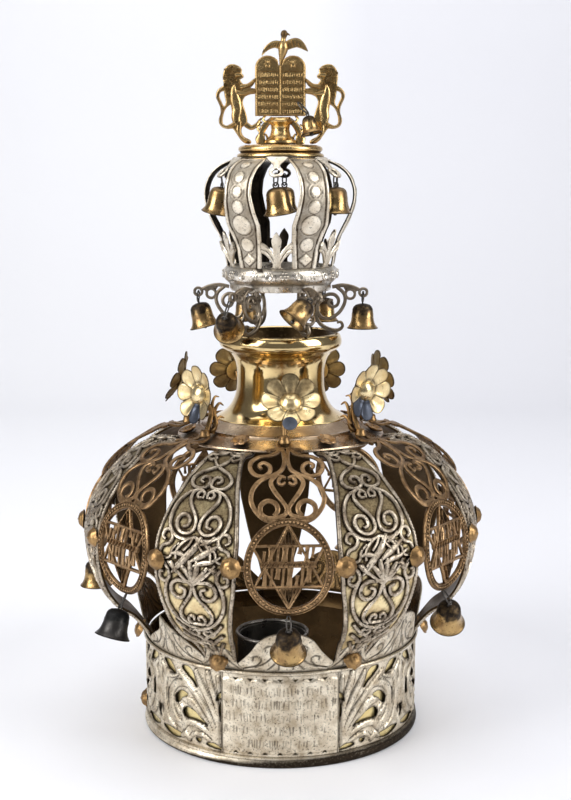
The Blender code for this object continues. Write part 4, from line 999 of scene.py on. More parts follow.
# The eye at its foot holds the bell, and its two short arms reach the rivets on the staves' edges.
casting.append(strips("eye", [ring_of(0, -1.2, 1.5, 0.5, 13)], medallion_place, 1.0, CAST, steps=1))
arms = [[(side * 22, RING_MIDDLE, 1.6), (side * 26, RING_MIDDLE, 1.2)] for side in (-1, 1)]
casting.append(strips("arms", arms, medallion_place, 1.4, CAST, steps=2))
red_gilt = polished_metal("red_gilt", (0.48, 0.305, 0.155), (0.2, 0.118, 0.058), (0.02, 0.013, 0.008),
                          rough=(0.26, 0.44), spots=0.8, tarnish_and_shade_in_hollows=0.95, dents=0.9, grain=560, reach=0.0028)
casting = shaded(joined("casting", casting), lambda p: 0.3 * np.clip((p[:, 2] - 143) / 8, 0, 1))
set_round(casting, "star_medallion", LOBE_AZIMUTHS, red_gilt, "red_gilt", "medallion")

# The domed rivets: two on each medallion's arms, one through each tab, and one on the band's left.
BAND_RIVET_AZIMUTH = -84
CUP_PETALS = 8
CUP = [(0.01, 3.2), (0.5, 3.4), (0.9, 3.0), (2.0, 2.9), (3.3, 2.4), (4.3, 1.5), (4.8, 0.5), (5.4, 0.2),
       (5.6, -0.3), (5.0, -0.5), (0.01, -0.5)]
rivet_gilt = polished_metal("rivet_gilt", (0.42, 0.26, 0.11), (0.2, 0.12, 0.055), (0.03, 0.018, 0.01),
                            rough=(0.3, 0.46), spots=0.7, tarnish_and_shade_in_hollows=0.9, dents=0.5)
rivet = scattered("rivets", petalled("cup", CUP, CUP_PETALS, 0.035), [
    facing(side * 12, side * 29.8, -111.9, 122.6, 2) for side in (-1, 1)])
set_round(rivet, "medallion_rivets", LOBE_AZIMUTHS, rivet_gilt, "red_gilt")
tab_rivet = scattered("tab_rivets", petalled("cup", CUP, CUP_PETALS, 0.045),
                      [facing(0, 0, -84.6, 60.6, 28)])
set_round(tab_rivet, "tab_rivet", TAB_AZIMUTHS, rivet_gilt, "red_gilt")
turn = math.radians(BAND_RIVET_AZIMUTH)
band_rivet = scattered("band_rivet", petalled("cup", CUP, CUP_PETALS, 0.07),
                       [facing(BAND_RIVET_AZIMUTH, 81 * math.sin(turn), -81 * math.cos(turn), 12.5)])
fitted(band_rivet, rivet_gilt, "red_gilt")


# ---------------------------------------------------------------------------------------------
# The neck: a spun brass spool, polished, with a rolled mouth and an open bore. Its wide flange is
# dull and rose brown, and seven leafy cups are riveted to it, one on the head of each stave.
NECK_LINE = [(39.6, 180.9), (38.6, 181.2), (38.0, 182.6), (36.2, 183.6), (31.8, 186.4), (28.2, 191),
             (26.0, 197), (25.4, 204), (25.6, 210.6), (27.2, 216.6), (30.2, 220.6), (33.2, 222.6),
             (35.0, 224.4), (35.5, 226.6), (35.2, 228.8), (34.2, 230.8), (32.8, 231.8), (31.4, 231.2),
             (30.4, 229.6), (27.6, 222.6), (24.4, 213), (23.8, 202), (24.8, 194), (28.8, 187.4),
             (36.2, 181.2), (39.6, 180.9)]
brass = polished_metal("brass", (0.83, 0.64, 0.32), (0.58, 0.41, 0.19), (0.06, 0.038, 0.018),
                       rough=(0.08, 0.19), spots=0.5, tarnish_and_shade_in_hollows=0.5, dents=0.1, grain=400, patch=60)
neck = lathe("neck_spool", through(NECK_LINE, 3).tolist(), turns=128, smooth_angle=60)
outer_r, outer_z = zip(*NECK_LINE[:17])
# The inside of the bore is painted fully dark: painted shade.
shaded(neck, lambda p: 1.0 * (p[:, 2] < 231)
       * (np.hypot(p[:, 0], p[:, 1]) < np.interp(p[:, 2], outer_z, outer_r) - 0.9))
fitted(neck, brass, "brass", "neck")

rose_brown = polished_metal("rose_brown", (0.51, 0.385, 0.255), (0.33, 0.235, 0.155), (0.06, 0.04, 0.028),
                            rough=(0.22, 0.36), spots=0.6, tarnish_and_shade_in_hollows=0.8, dents=0.45, patch=90)
FLANGE_LINE = [(38.4, 182.6), (40.4, 181.4), (44.6, 179.2), (46.4, 178.5), (47.2, 178.8), (48.2, 178.5),
               (48.8, 177.4), (50, 176.8), (56, 174.6), (58.8, 173.6), (59.9, 173.4), (60.2, 172.6),
               (59.6, 171.9), (56, 172.9), (50, 175.2), (44.4, 177.8), (38.4, 181.0), (38.4, 182.6)]
flange = lathe("neck_flange", FLANGE_LINE, turns=128, smooth_angle=40)
fitted(flange, rose_brown, "brass")

LEAFY = [(0.01, 1.4), (0.9, 1.4), (1.3, 0.9), (2.2, 0.8), (3.4, 1.7), (4.8, 2.1), (5.2, 1.8), (4.6, 0.9),
         (2.6, -0.4), (0.01, -0.6)]
cup = petalled("flange_cup", LEAFY, 7, 0.1, turns=56)
cup_place = Matrix.Translation((0, -54.6, 176.2)) @ turned(22, "X")
set_round(scattered("flange_cup", cup, [cup_place]), "flange_cup", TAB_AZIMUTHS, red_gilt, "gilt")


# ---------------------------------------------------------------------------------------------
# The seven flowers: each is raised from one pale gilt disc, eight spoon-shaped petals folded from
# it and a polished dome in the middle, on a stem bolted down through the medallion's upper end.
FLOWER_RADIUS = 16.2
PETALS = 8
PETAL_RAYS, PETAL_RINGS = 112, 15
PETAL_SHEET = 0.55
STEM_RADIUS = 59
# How each flower leans back and turns on its stem, in degrees, and its place across and up.
FLOWERS = [(38, 0, 3.3, 199.4), (-8, -9, 0, 202.5), (12, 4, 0, 202.5), (10, 0, 0, 202.5),
           (14, -3, 0, 202.5), (23, 6, 0, 202.5), (4, -3, 0, 201)]
TARNISHED_PETALS = {1: (4, 5), 6: (4,)}


def as_mesh(curve):
    """Turns a drawn curve into a piece."""
    made = bpy.data.objects.new(curve.name, curve)
    bpy.context.scene.collection.objects.link(made)
    chosen(made)
    bpy.ops.object.convert(target="MESH")
    return bpy.context.object


def wire(name, points, radius, closed=False, steps=4, sides=3):
    """Round wire bent through the given points; each point may carry its own thickness."""
    line = through(points, steps)[:-1 if closed else None]
    curve = bpy.data.curves.new(name, "CURVE")
    curve.dimensions = "3D"
    curve.bevel_depth = radius * MM
    curve.bevel_resolution = sides
    curve.use_fill_caps = True
    spline = curve.splines.new("POLY")
    spline.points.add(len(line) - 1)
    for point, place in zip(spline.points, line):
        point.co = (*(place[:3] * MM).tolist(), 1)
        if len(place) > 3:
            point.radius = float(place[3])
    spline.use_cyclic_u = closed
    made = as_mesh(curve)
    bpy.ops.object.shade_smooth_by_angle(angle=math.radians(60))
    return made


def flower_head(upper_petal_shade):
    """Both faces of the petalled disc, front towards -Y, its upper petals painted darker by that much, as
    painted shade.
    """
    rays, rings = PETAL_RAYS, PETAL_RINGS
    turn, share = np.meshgrid(np.arange(rays) * 2 * math.pi / rays, np.linspace(0.12, 1, rings))
    petal = 1 - np.abs(((turn / (2 * math.pi) * PETALS) % 1) * 2 - 1)
    reach = FLOWER_RADIUS * (0.81 + 0.19 * (1 - petal**2.6))
    radius = reach * share
    fold = hump((1 - petal) * radius / 2.4, 0, 0.28)
    swell = 0.9 * petal**2 * np.sin(math.pi * np.clip(share, 0.25, 1))
    dish = 4.4 * (radius / FLOWER_RADIUS) ** 1.6 + swell
    front = points_of(radius * np.sin(turn), -dish + 0.55 * fold * share, radius * np.cos(turn))
    back = front + (0, PETAL_SHEET, 0)
    count = rays * rings
    faces = []
    for ring in range(rings - 1):
        for ray in range(rays):
            a, b = ring * rays + ray, ring * rays + (ray + 1) % rays
            faces.append((b, a, a + rays, b + rays))
            faces.append((count + a, count + b, count + b + rays, count + a + rays))
    last = (rings - 1) * rays
    for ray in range(rays):
        a, b = last + ray, last + (ray + 1) % rays
        faces.append((b, a, count + a, count + b))
    edge = np.clip((share - 0.93) * 14, 0, 0.95)
    value = np.maximum(edge, 0.9 * fold * (share > 0.3))
    value = np.maximum(value, 0.8 * hump(radius, 7.0, 0.8))
    # Painted shade: the upper petals are painted darker.
    value = np.maximum(value, upper_petal_shade * np.clip(2.4 * np.cos(turn) - 0.5, 0, 1)).ravel()
    head = object_of("petals", np.vstack((front, back)), faces, 60)
    # Painted shade: the back faces are painted at least fairly dark.
    return darkened(head, np.concatenate((value, np.maximum(value, 0.55))))


pale_flower = polished_metal("pale_flower", (0.85, 0.69, 0.39), (0.66, 0.48, 0.23), (0.06, 0.04, 0.022),
                             rough=(0.24, 0.42), spots=0.6, tarnish_and_shade_in_hollows=0.5, dents=0.3, grain=500, patch=110)
blue_tarnish = polished_metal("blue_tarnish", (0.115, 0.13, 0.165), (0.075, 0.083, 0.103),
                              (0.03, 0.03, 0.035), rough=(0.35, 0.5), spots=0.4, tarnish_and_shade_in_hollows=0.3, dents=0.3)
DOME = [(0.01, 4.3), (1.6, 4.15), (3.2, 3.6), (4.6, 2.6), (5.6, 1.3), (6.1, 0.2), (6.5, -0.1), (6.5, -0.7),
        (0.01, -0.7)]
NUT = [(0.01, 181), (1.8, 181), (2.6, 180.2), (2.8, 178.6), (3.2, 178), (3.2, 176.9), (0.01, 176.9)]
TARNISHED_PETAL = [(0.01, 0.5), (3.2, 0.8), (4.3, 1.1), (4.5, 0.8), (3.4, 0.1), (0.01, -0.2)]
LEAF_CURLS = [
    [(0, -50.6, 178.0, 1.6), (0.6, -48.6, 184, 1.5), (-0.6, -48.6, 190, 1.2), (0, -45.6, 194.6, 0.8),
     (0, -42.6, 193.2, 0.4)],
    [(0, -50, 183, 1.2), (0, -45.6, 186.8, 0.9), (0, -42.2, 186.0, 0.4)],
    [(0, -49, 188, 1.3), (0, -50.6, 194, 1.1), (0, -48.6, 198.6, 0.7), (0, -45.8, 198.4, 0.4)],
    [(0, -52, 179, 1.2), (2.6, -50.6, 181, 1.0), (4.6, -50.6, 184, 0.4)],
    [(0, -52, 179, 1.2), (-2.6, -50.6, 181, 1.0), (-4.6, -50.6, 184, 0.4)],
]
for k, (azimuth, (lean, twist, aside, height)) in enumerate(zip(LOBE_AZIMUTHS, FLOWERS)):
    stand = Matrix.Translation((aside * MM, -STEM_RADIUS * MM, height * MM))
    stand = stand @ turned(twist) @ turned(-lean, "X")
    # Only the front flower has painted shade on its upper petals.
    head = flower_head(0.75 if k == 0 else 0.0)
    dome = lathe("dome", DOME, turns=48, smooth_angle=60)
    dome.data.transform(turned(90, "X"))
    flower = joined("petals", [head, dome])
    flower.data.transform(stand)
    bend = stand @ Vector((0, 1.2 * MM, -1 * MM)) / MM
    route = [tuple(bend), (0, -51.5, 191), (0, -53.2, 183), (0, -56, 177.6)]
    stem = [wire("stem", route, 1.15 if k == 0 else 1.5), lathe("nut", NUT, 24, centre=(0, -55.9))]
    if k:
        stem += [wire("curl", curl, 0.95) for curl in LEAF_CURLS]
    stem = joined("flower_stem", stem)
    pieces = [(flower, pale_flower, "flower_gilt", [f"flower_{k + 1}"]), (stem, rivet_gilt, "red_gilt", [])]
    if k == 0:
        petal = lathe("tarnished_petal", TARNISHED_PETAL, 40, smooth_angle=60)
        petal_place = stand @ Matrix.Translation((-1 * MM, -5.4 * MM, -15.6 * MM))
        petal.data.transform(petal_place @ Matrix.Scale(0.9, 4) @ turned(90, "X"))
        pieces.append((petal, blue_tarnish, "flower_gilt", []))
    for made, finish, slot, nodes in pieces:
        made.name = made.data.name = f"{made.name.split('.')[0]}_{k + 1}"
        made.data.transform(turned(azimuth))
        fitted(made, finish, slot, *nodes)
    if k in TARNISHED_PETALS:
        lined(flower, blue_tarnish, lambda face: face.index < 2 * PETAL_RAYS * (PETAL_RINGS - 1)
              and round(face.index // 2 % PETAL_RAYS / PETAL_RAYS * PETALS) % PETALS in TARNISHED_PETALS[k])


# ---------------------------------------------------------------------------------------------
# The six brackets: grey-brown silver scrolls cut from plate, standing on the neck's mouth and
# carrying the small crown, each with a hooked arm that ends in a ring for a bell.
BRACKET_AZIMUTHS = [26.5 + 60 * k for k in range(6)]
OPENING_AZIMUTHS = [-3.5 + 60 * k for k in range(6)]


def upright_plane(flat):
    """Flat drawings in a plane through the crown's axis: distance from the axis, height, thickness."""
    return points_of(-flat[:, 2], -flat[:, 0], flat[:, 1])


BRACKET_STROKES = [
    [(29.8, 257.9, 1.0), (35.4, 258.9, 1.1), (41, 258.2, 1.0), (45.2, 256.4, 1.0)],
    ring_of(47.7, 254.9, 2.2, 0.8),
    ring_of(40.2, 253.9, 2.7, 0.8),
    [(36.8, 256.8, 0.9), (38.2, 257.6, 0.9), (41.6, 257.2, 0.9), (43.6, 255.2, 0.7)],
    [(32.6, 257.8, 1.0), (36.4, 254.4, 1.0), (37.2, 249.4, 1.0), (34, 243.4, 1.0), (28.6, 239.8, 1.0),
     (23.8, 240.4, 1.0), (21.4, 244.8, 1.0), (22.6, 249.8, 1.0), (26.4, 253.2, 1.0), (30.8, 253.6, 1.0),
     (33.4, 251.0, 1.0), (32.8, 247.6, 0.9), (29.8, 246.4, 0.9), (27.8, 248.4, 0.8), (28.8, 250.4, 0.7),
     (30.4, 250.2, 0.6)],
    [(21.6, 245.6, 1.0), (21.0, 240.6, 1.1), (23.4, 236.2, 1.1), (28.2, 233.6, 1.1), (33, 233.0, 1.0),
     (35.8, 235.0, 0.9), (35.0, 237.6, 0.8), (32.6, 237.4, 0.7)],
    [(23.4, 256.6, 0.9), (23.2, 252.4, 0.9), (25.0, 249.6, 0.7)],
]
grey_silver = polished_metal("grey_silver", (0.36, 0.3, 0.225), (0.22, 0.175, 0.125), (0.03, 0.022, 0.018),
                             rough=(0.3, 0.46), spots=0.5, tarnish_and_shade_in_hollows=0.7, dents=0.5)
bracket = strips("bracket", BRACKET_STROKES, upright_plane, 1.8, CAST, steps=5)
set_round(bracket, "scroll_bracket", BRACKET_AZIMUTHS, grey_silver, "old_silver", "bracket")


# ---------------------------------------------------------------------------------------------
# The small crown: a moulded and punched silver ring with six bellied staves raised from it. Each
# stave is matted between polished borders and carries a row of smooth round bosses. A cut
# fleur-de-lis stands in each opening, and a lug with a ring for a bell hangs over it.
SMALL_LINE = [(29.9, 268), (31.0, 274), (32.2, 281), (35.0, 288), (39.2, 296), (42.2, 304.4), (43.0, 310),
              (42.4, 315.6), (39.6, 321.8), (35.2, 326), (29.6, 328.9), (23.8, 330.6)]
SMALL_HALF = [(266, 13.4), (270, 14), (286, 16), (294, 16.9), (301, 14.3), (311, 11.9), (319, 12.4),
              (325, 14.4), (329, 17.5), (331, 20)]
BOSSES = [(326.6, 3.1), (320.2, 3.4), (312.2, 3.4), (304.0, 3.9), (294.0, 6.2), (283.2, 4.3)]
RING_LINE = [(27.2, 256.6), (28.6, 256.4), (29.2, 257.4), (29.0, 259.4), (29.6, 260.6), (31.2, 261.8),
             (32.8, 263.8), (33.3, 266.2), (32.6, 268.4), (31.2, 269.8), (29.8, 270.6), (28.6, 270.4),
             (28.0, 268), (27.6, 262), (27.2, 256.6)]

small_rail = rail_of(SMALL_LINE, 8)
SMALL_ROWS, SMALL_COLUMNS = 124, 35
SMALL_SHEET = 1.1
along = np.linspace(0, small_rail[0][-1], SMALL_ROWS)
heights = np.interp(along, small_rail[0], small_rail[1][:, 1])
radii = np.interp(along, small_rail[0], small_rail[1][:, 0])
half_width = np.radians(np.interp(heights, *zip(*SMALL_HALF))) * radii
share, run = np.meshgrid(np.linspace(-1, 1, SMALL_COLUMNS), along)
across = share * half_width[:, None]
to_edge = half_width[:, None] - np.abs(across)
border = np.interp(run, (0, 30, 70), (2.9, 2.4, 1.6))
proud = 0.6 * np.clip((border - to_edge) / 0.4, 0, 1) * np.clip(to_edge / 0.4, 0.3, 1)
dark = 0.9 * hump(to_edge - border, 0.35, 0.45) + 0.5 * (to_edge > border)
for height, radius in BOSSES:
    middle = np.interp(height, heights, along)
    away = np.hypot(across, run - middle)
    boss = 0.5 * np.minimum(1, (radius - away) / 0.5) + 0.12 * (1 - (away / radius) ** 2)
    proud = np.where(away < radius, boss, proud)
    dark = np.where(away < radius - 0.5, 0, np.maximum(dark, 0.9 * hump(away, radius, 0.35)))
    proud = np.maximum(proud, 0.45 * hump(away - radius, 0.9, 0.4))
middle = np.interp(274.8, heights, along)
away = np.abs(across) / 4.9 + np.abs(run - middle) / 3.9
proud = np.where(away < 1, 0.6 * np.minimum(1, (1 - away) / 0.2), proud)
dark = np.where(away < 0.8, 0, np.maximum(dark, 0.9 * hump(away, 1, 0.13)))
stave_faces = grid_faces(SMALL_ROWS, SMALL_COLUMNS)
stave_points = over_rail(small_rail, True)(points_of(across, run, proud))
small_stave = darkened(object_of("small_stave", stave_points, stave_faces, 60), np.clip(dark, 0, 1))
thickened(small_stave, SMALL_SHEET)

bright_silver = polished_metal("bright_silver", (0.88, 0.82, 0.72), (0.6, 0.53, 0.43),
                               (0.035, 0.028, 0.022), rough=(0.2, 0.36), spots=0.8, tarnish_and_shade_in_hollows=0.7, dents=0.45,
                               grain=560)
matt_silver = polished_metal("matt_silver", (0.89, 0.81, 0.67), (0.62, 0.53, 0.4), (0.05, 0.033, 0.02),
                             rough=(0.3, 0.44), spots=0.75, tarnish_and_shade_in_hollows=0.7, dents=0.6, grain=800)
# A near-black finish for the inner faces: painted shade.
painted_shade_black = polished_metal("painted_shade_black", (0.075, 0.06, 0.045), (0.035, 0.027, 0.02),
                              (0.015, 0.012, 0.01), rough=(0.3, 0.5), spots=0.3, tarnish_and_shade_in_hollows=0.4)
for stave in set_round(small_stave, "small_stave", BRACKET_AZIMUTHS, matt_silver, "silver"):
    lined(stave, painted_shade_black, lambda face: face.index >= len(stave_faces))

small_ring = lathe("small_ring", RING_LINE, turns=144, smooth_angle=50)
top_ring = lathe("small_top", [(19, 329.2), (26.6, 329), (28.4, 329.2), (28.6, 330.0), (24.8, 331),
                               (19, 331), (19, 329.2)], turns=96)
# Punched rings and rosettes of seven grains take turns round it, every 15 degrees.
punch_azimuths = [15 * k + 4 for k in range(24)]
punched = []
for azimuth in punch_azimuths[1::2]:
    turn = math.radians(azimuth)
    punched.append(facing(azimuth, 33.1 * math.sin(turn), -33.1 * math.cos(turn), 265.6))
eyelet = lathe("eyelet", [(0.01, 0.1), (1.2, 0.05), (1.5, 0.5), (2.0, 0.5), (2.3, 0.05), (2.3, -0.6),
                          (0.01, -0.6)], 20, smooth_angle=60)
punch_rings = scattered("eyelets", eyelet, punched)
grains = []
for azimuth in punch_azimuths[::2]:
    for arm in range(7):
        out, lean = (1.9, math.radians(60 * arm)) if arm < 6 else (0, 0)
        turn = math.radians(azimuth) + out * math.cos(lean) / 33
        high = 265.8 + out * math.sin(lean)
        grains.append(Matrix.Translation((33.05 * math.sin(turn), -33.05 * math.cos(turn), high)))
rosettes = scattered("rosettes", bead(0.75), grains)
base_ring = joined("small_ring", [small_ring, top_ring, punch_rings, rosettes])
# Tarnish lies in the two grooves, and one round spot of it shows at the front.
shaded(base_ring, lambda p: 0.9 * hump(p[:, 2], 260.2, 0.5) + 0.6 * hump(p[:, 2], 270, 0.5)
       + 1.0 * (np.hypot(p[:, 0] + 11.5, p[:, 2] - 269.0) < 2.0) * (p[:, 1] < 0))
fitted(base_ring, bright_silver, "silver", "small_crown")

FLEUR = [
    [(0, -0.6, 2.3), (0, 4, 2.2), (0, 8.4, 2.0), (0, 11.4, 1.9), (0, 14, 2.4), (0, 16.8, 2.8),
     (0, 19.2, 1.7), (0, 21.4, 0.2)],
    [(-3.4, 0.2, 0.6), (0, 1.4, 0.6), (3.4, 0.2, 0.6)],
] + [[(side * x, z, w) for x, z, w in stroke] for side in (-1, 1) for stroke in (
    [(1.2, 5.4, 0.9), (3.0, 9.2, 1.0), (5.6, 12.4, 1.1), (7.6, 14.0, 1.2), (8.8, 14.4, 1.2)],
    [(1.6, 3.4, 0.6), (4.0, 7.2, 0.8), (6.4, 9.8, 1.0), (8.6, 11.0, 1.1)],
    [(5.8, 11.2, 0.4), (8.6, 12.8, 0.9)],
    [(0.85, 0.4, 0.3), (0.8, 9.6, 0.3), (1.5, 14, 0.3)],
)]
LUG = [[(0, 1.2, 6.0), (0, -1.4, 4.4), (0, -4.4, 2.2), (0, -7.2, 1.5)], ring_of(0, -10.8, 3.1, 0.95)]


def tilted_plane(radius, height, lean):
    """A drawing plane that faces the front at a radius, leaning by that many degrees."""
    place = Matrix.Translation((0, -radius, height)) @ turned(lean, "X")
    turn, shift = np.array(place.to_3x3()), np.array(place.translation)
    return lambda flat: points_of(flat[:, 0], -flat[:, 2], flat[:, 1]) @ turn.T + shift


opening = joined("opening", [strips("fleur", FLEUR, tilted_plane(29.7, 269.6, 16), 1.5, CAST, steps=4),
                             strips("lug", LUG, tilted_plane(27.6, 330, -48), 1.4, CAST, steps=4)])
for cut in set_round(opening, "fleur_and_lug", OPENING_AZIMUTHS, matt_silver, "silver"):
    # The inward faces take the near-black finish: painted shade.
    lined(cut, painted_shade_black, faces_inward)


# ---------------------------------------------------------------------------------------------
# The plate and the spool: a spun two-tier gilt plate closes the small crown, and a turned spool on
# it, with a leafy cast support at each side, carries the finial.
gilt = polished_metal("gilt", (0.72, 0.52, 0.24), (0.52, 0.34, 0.14), (0.07, 0.04, 0.02),
                      rough=(0.16, 0.34), spots=0.5, tarnish_and_shade_in_hollows=0.8, dents=0.4, grain=650, reach=0.002)
disc = lathe("gilt_plate", [(0.01, 331.3), (24.0, 331.3), (24.7, 331.6), (24.8, 332.4), (24.2, 333.2),
                            (23.0, 333.6), (22.6, 334.2), (23.6, 334.8), (24.0, 335.6), (23.7, 336.8),
                            (22.6, 337.6), (20.6, 338.1), (17, 338.4), (0.01, 338.5)], turns=128,
             smooth_angle=50)
# Darker along its groove, and its underside painted dark: painted shade.
shaded(disc, lambda p: 0.9 * hump(p[:, 2], 334.0, 0.45) + 0.5 * (p[:, 2] < 331.5))
fitted(disc, gilt, "gilt", "top_disc")

SPOOL_LINE = [(0.01, 338.6), (8.4, 338.6), (9.4, 339.4), (9.3, 340.6), (7.6, 341.6), (6.0, 343.6),
              (5.2, 346.6), (5.6, 349.4), (7.2, 350.6), (7.4, 351.6), (6.4, 352.4), (5.8, 353.6),
              (0.01, 353.6)]
SUPPORT = [
    [(11.4, -0.4, 2.6), (10.8, 2.4, 2.2), (10.6, 6, 1.8), (9.0, 9.6, 1.8), (6.2, 12.6, 1.4),
     (4.6, 14.6, 0.8)],
    [(12.4, 0.4, 0.8), (13.4, 2.6, 0.9), (12.4, 5, 0.6)], [(11.6, 6.4, 0.7), (12.8, 8.8, 0.8),
                                                           (11.2, 10.8, 0.5)],
    [(8.2, 11.8, 0.7), (9.8, 13.8, 0.8), (8.2, 15.8, 0.5)], [(8.2, 1.0, 0.7), (7.2, 3.2, 0.7),
                                                             (8.6, 5.6, 0.5)],
]
spool = joined("turned_spool", [
    lathe("spool", SPOOL_LINE, turns=64, smooth_angle=50),
    strips("supports", mirrored(SUPPORT), tilted_plane(0, 338.9, 0), 3.0, CAST, steps=4, milled=0.15),
    *(wire("foot", [(x, -2.6, 339.4), (x, 0, 339.2), (x, 2.6, 339.4)], 1.1) for x in (10.4, -10.4)),
])
fitted(spool, gilt, "gilt", "finial_spool")


# ---------------------------------------------------------------------------------------------
# The finial: one flat gilt casting of the twin tablets between two rampant lions, chased on the
# front. The tablets carry rows of plain strokes, and the manes are cut into small curls.
TABLETS_FOOT = 354.3
TABLETS_THICK = 3.0
LIONS_THICK = 3.2
ROW_HEIGHTS = (2.6, 6.6, 10.6, 14.6, 18.6, 22.6)
LION_SHAPE = [
    (13.2, 21.8), (15.0, 19.0), (17.0, 16.6), (19.4, 16.4), (21.4, 18.2), (22.6, 20.2), (21.0, 21.0),
    (20.6, 22.4), (21.8, 23.6), (21.6, 25.8), (23.4, 27.6), (26.0, 28.6), (28.8, 28.4), (31.0, 26.6),
    (32.2, 23.8), (32.4, 20.4), (32.0, 17.0), (34.2, 15.6), (36.0, 13.4), (36.4, 10.6), (35.2, 7.6),
    (34.0, 4.8), (33.8, 1.6), (34.8, -1.4), (34.6, -4.2), (32.8, -6.4), (29.6, -7.2), (27.2, -7.0),
    (26.0, -8.2), (24.4, -10.6), (22.4, -13.4), (20.0, -15.2), (17.0, -15.4), (16.6, -13.8),
    (18.2, -12.6), (20.6, -11.4), (22.0, -8.8), (21.6, -6.2), (19.4, -4.8), (18.6, -2.4), (19.2, 1.0),
    (20.4, 4.6), (21.2, 7.8), (20.0, 10.6), (17.0, 12.0), (13.2, 12.6), (13.2, 14.8), (15.6, 15.4),
    (17.0, 15.8), (15.6, 17.6), (13.2, 19.8),
]
TAIL_GAPS = [[(31.8, 13.8), (33.6, 13.2), (34.4, 11.0), (33.2, 8.2), (31.8, 5.4), (30.8, 7.6),
              (31.4, 10.8)], [(28.0, 6.4), (30.0, 5.0), (31.6, 2.6), (32.6, -1.4), (32.4, -4.2),
                              (30.4, -5.2), (27.6, -4.6), (26.6, -1.0), (27.4, 2.6)]]


def cut_plate(name, outline, holes, thickness, edge, smooth=3):
    """A plate sawn to an outline with holes, its edges rounded over, standing in the XZ plane."""
    curve = bpy.data.curves.new(name, "CURVE")
    curve.dimensions = "2D"
    curve.fill_mode = "BOTH"
    curve.extrude = (thickness / 2 - edge) * MM
    curve.bevel_depth = edge * MM
    curve.bevel_resolution = 2
    curve.offset = -edge * MM
    for loop in [outline] + holes:
        line = through(loop + loop[:1], smooth)[:-1]
        spline = curve.splines.new("POLY")
        spline.points.add(len(line) - 1)
        for point, (x, z) in zip(spline.points, line * MM):
            point.co = (float(x), float(z), 0, 1)
        spline.use_cyclic_u = True
    made = as_mesh(curve)
    made.data.transform(turned(90, "X"))
    return cleaned(made, 50)


def sided(side, points):
    """Points drawn for the right half, or mirrored for the left when side is -1."""
    return [(side * x, *rest) for x, *rest in points]


half, shoulder, rise = 14.3, 26.5, 6.9
arch = [(half / 2 - half / 2 * math.cos(a), shoulder + rise * math.sin(a))
        for a in np.radians([38, 55, 75, 95, 115, 135, 155, 170])]
right = [(1.0, shoulder + 1.6)] + arch + [(half, shoulder), (half, 0.0)]
tablets = cut_plate("tablets", right + sided(-1, right[::-1]), [], TABLETS_THICK, 0.45, smooth=1)
relief = [tablets]
front = tilted_plane(TABLETS_THICK / 2, TABLETS_FOOT, 0)
stood_up = Matrix.Translation((0, 0, TABLETS_FOOT * MM))
tablets.data.transform(stood_up)
chance = random.Random(11)
row_strokes = []
for z in ROW_HEIGHTS:
    for side in (-1, 1):
        x = 1.6
        while x < 12.4:
            width = chance.uniform(0.7, 1.3)
            top = chance.uniform(0.5, 1.1)
            row_strokes.append([(side * x, z - chance.uniform(0.7, 1.1), 0.28),
                                (side * x + chance.uniform(-0.3, 0.3), z + top, 0.3)])
            x += width
rules = [sided(side, [(1.2, z + 2.0, 0.3), (7, z + 2.05, 0.34), (13, z + 2.0, 0.3)])
         for z in ROW_HEIGHTS for side in (-1, 1)]
frame_line = [[(0, 0.6, 0.42), (0, 14, 0.4), (0, 27.4, 0.42)], [(-13.6, 0.6, 0.5), (13.6, 0.6, 0.5)]]
for side in (-1, 1):
    over = [(7.15 + 6.3 * math.cos(a), 26.5 + 6.1 * math.sin(a), 0.45)
            for a in np.radians(range(25, 151, 25))]
    frame_line.append(sided(side, [(13.5, 0.6, 0.45), (13.5, 13, 0.45), (13.5, 26.4, 0.45)] + over))
    x, z = side * 7.1, 28.6
    for arm in range(6):
        a = arm * math.pi / 3
        petal = [(x + out * math.cos(a), z + out * math.sin(a), wide)
                 for out, wide in ((0, 0.5), (1.3, 0.75), (2.2, 0.2))]
        relief.append(strips("petal", [petal], front, 0.5, ROUNDED, steps=2))
relief.append(strips("rows", row_strokes, front, 0.42, ROUNDED, steps=1))
relief.append(strips("rules", rules + frame_line, front, 0.6, ROUNDED, steps=2))

face_plane = tilted_plane(LIONS_THICK / 2, TABLETS_FOOT, 0)
BODY_RIDGES = [
    [(25.8, 17.4, 0.4), (26.3, 14, 1.9), (25.4, 9, 2.9), (24.4, 4, 2.8), (25.0, -1, 2.6), (24.0, -5, 1.8)],
    [(23.0, -3, 1.2), (23.6, -7.4, 1.5), (22.8, -11, 1.1), (19.6, -13.8, 0.9), (17.4, -14.4, 0.6)],
    [(24.6, -3.0, 0.4), (26.2, -4.4, 1.2), (28, -5.4, 1.0), (31, -6.0, 0.7), (33.4, -4.4, 0.6),
     (33.8, -1, 0.6), (32.8, 3, 0.6), (33.6, 6.4, 0.7), (35.2, 10, 0.7), (34.6, 13.2, 0.7),
     (32.4, 15, 0.6)],
    [(24.6, 13, 1.6), (20.4, 12.4, 1.1), (16.6, 13.4, 0.9), (13.8, 13.6, 0.7)],
    [(22.6, 16.2, 1.4), (18.2, 17.0, 1.0), (15.2, 19.4, 0.8), (13.8, 20.6, 0.6)],
    [(22.2, 22.6, 1.0), (23.6, 22.8, 1.3), (25.6, 22.4, 1.0)],
    [(22.0, 25.6, 0.5), (23.8, 26.2, 0.6), (25.4, 25.4, 0.4)],
]
KICKING_LEG = [[(-19.6, -4.6, 1.6), (-16.4, -6.4, 1.4), (-13.4, -4.8, 1.1), (-11.6, -2.4, 0.9)],
               [(-12.4, -4, 0.6), (-10.2, -3.4, 0.5)], [(-12.2, -2.6, 0.6), (-10.6, -1.2, 0.5)]]
MANE_TUFTS = 96
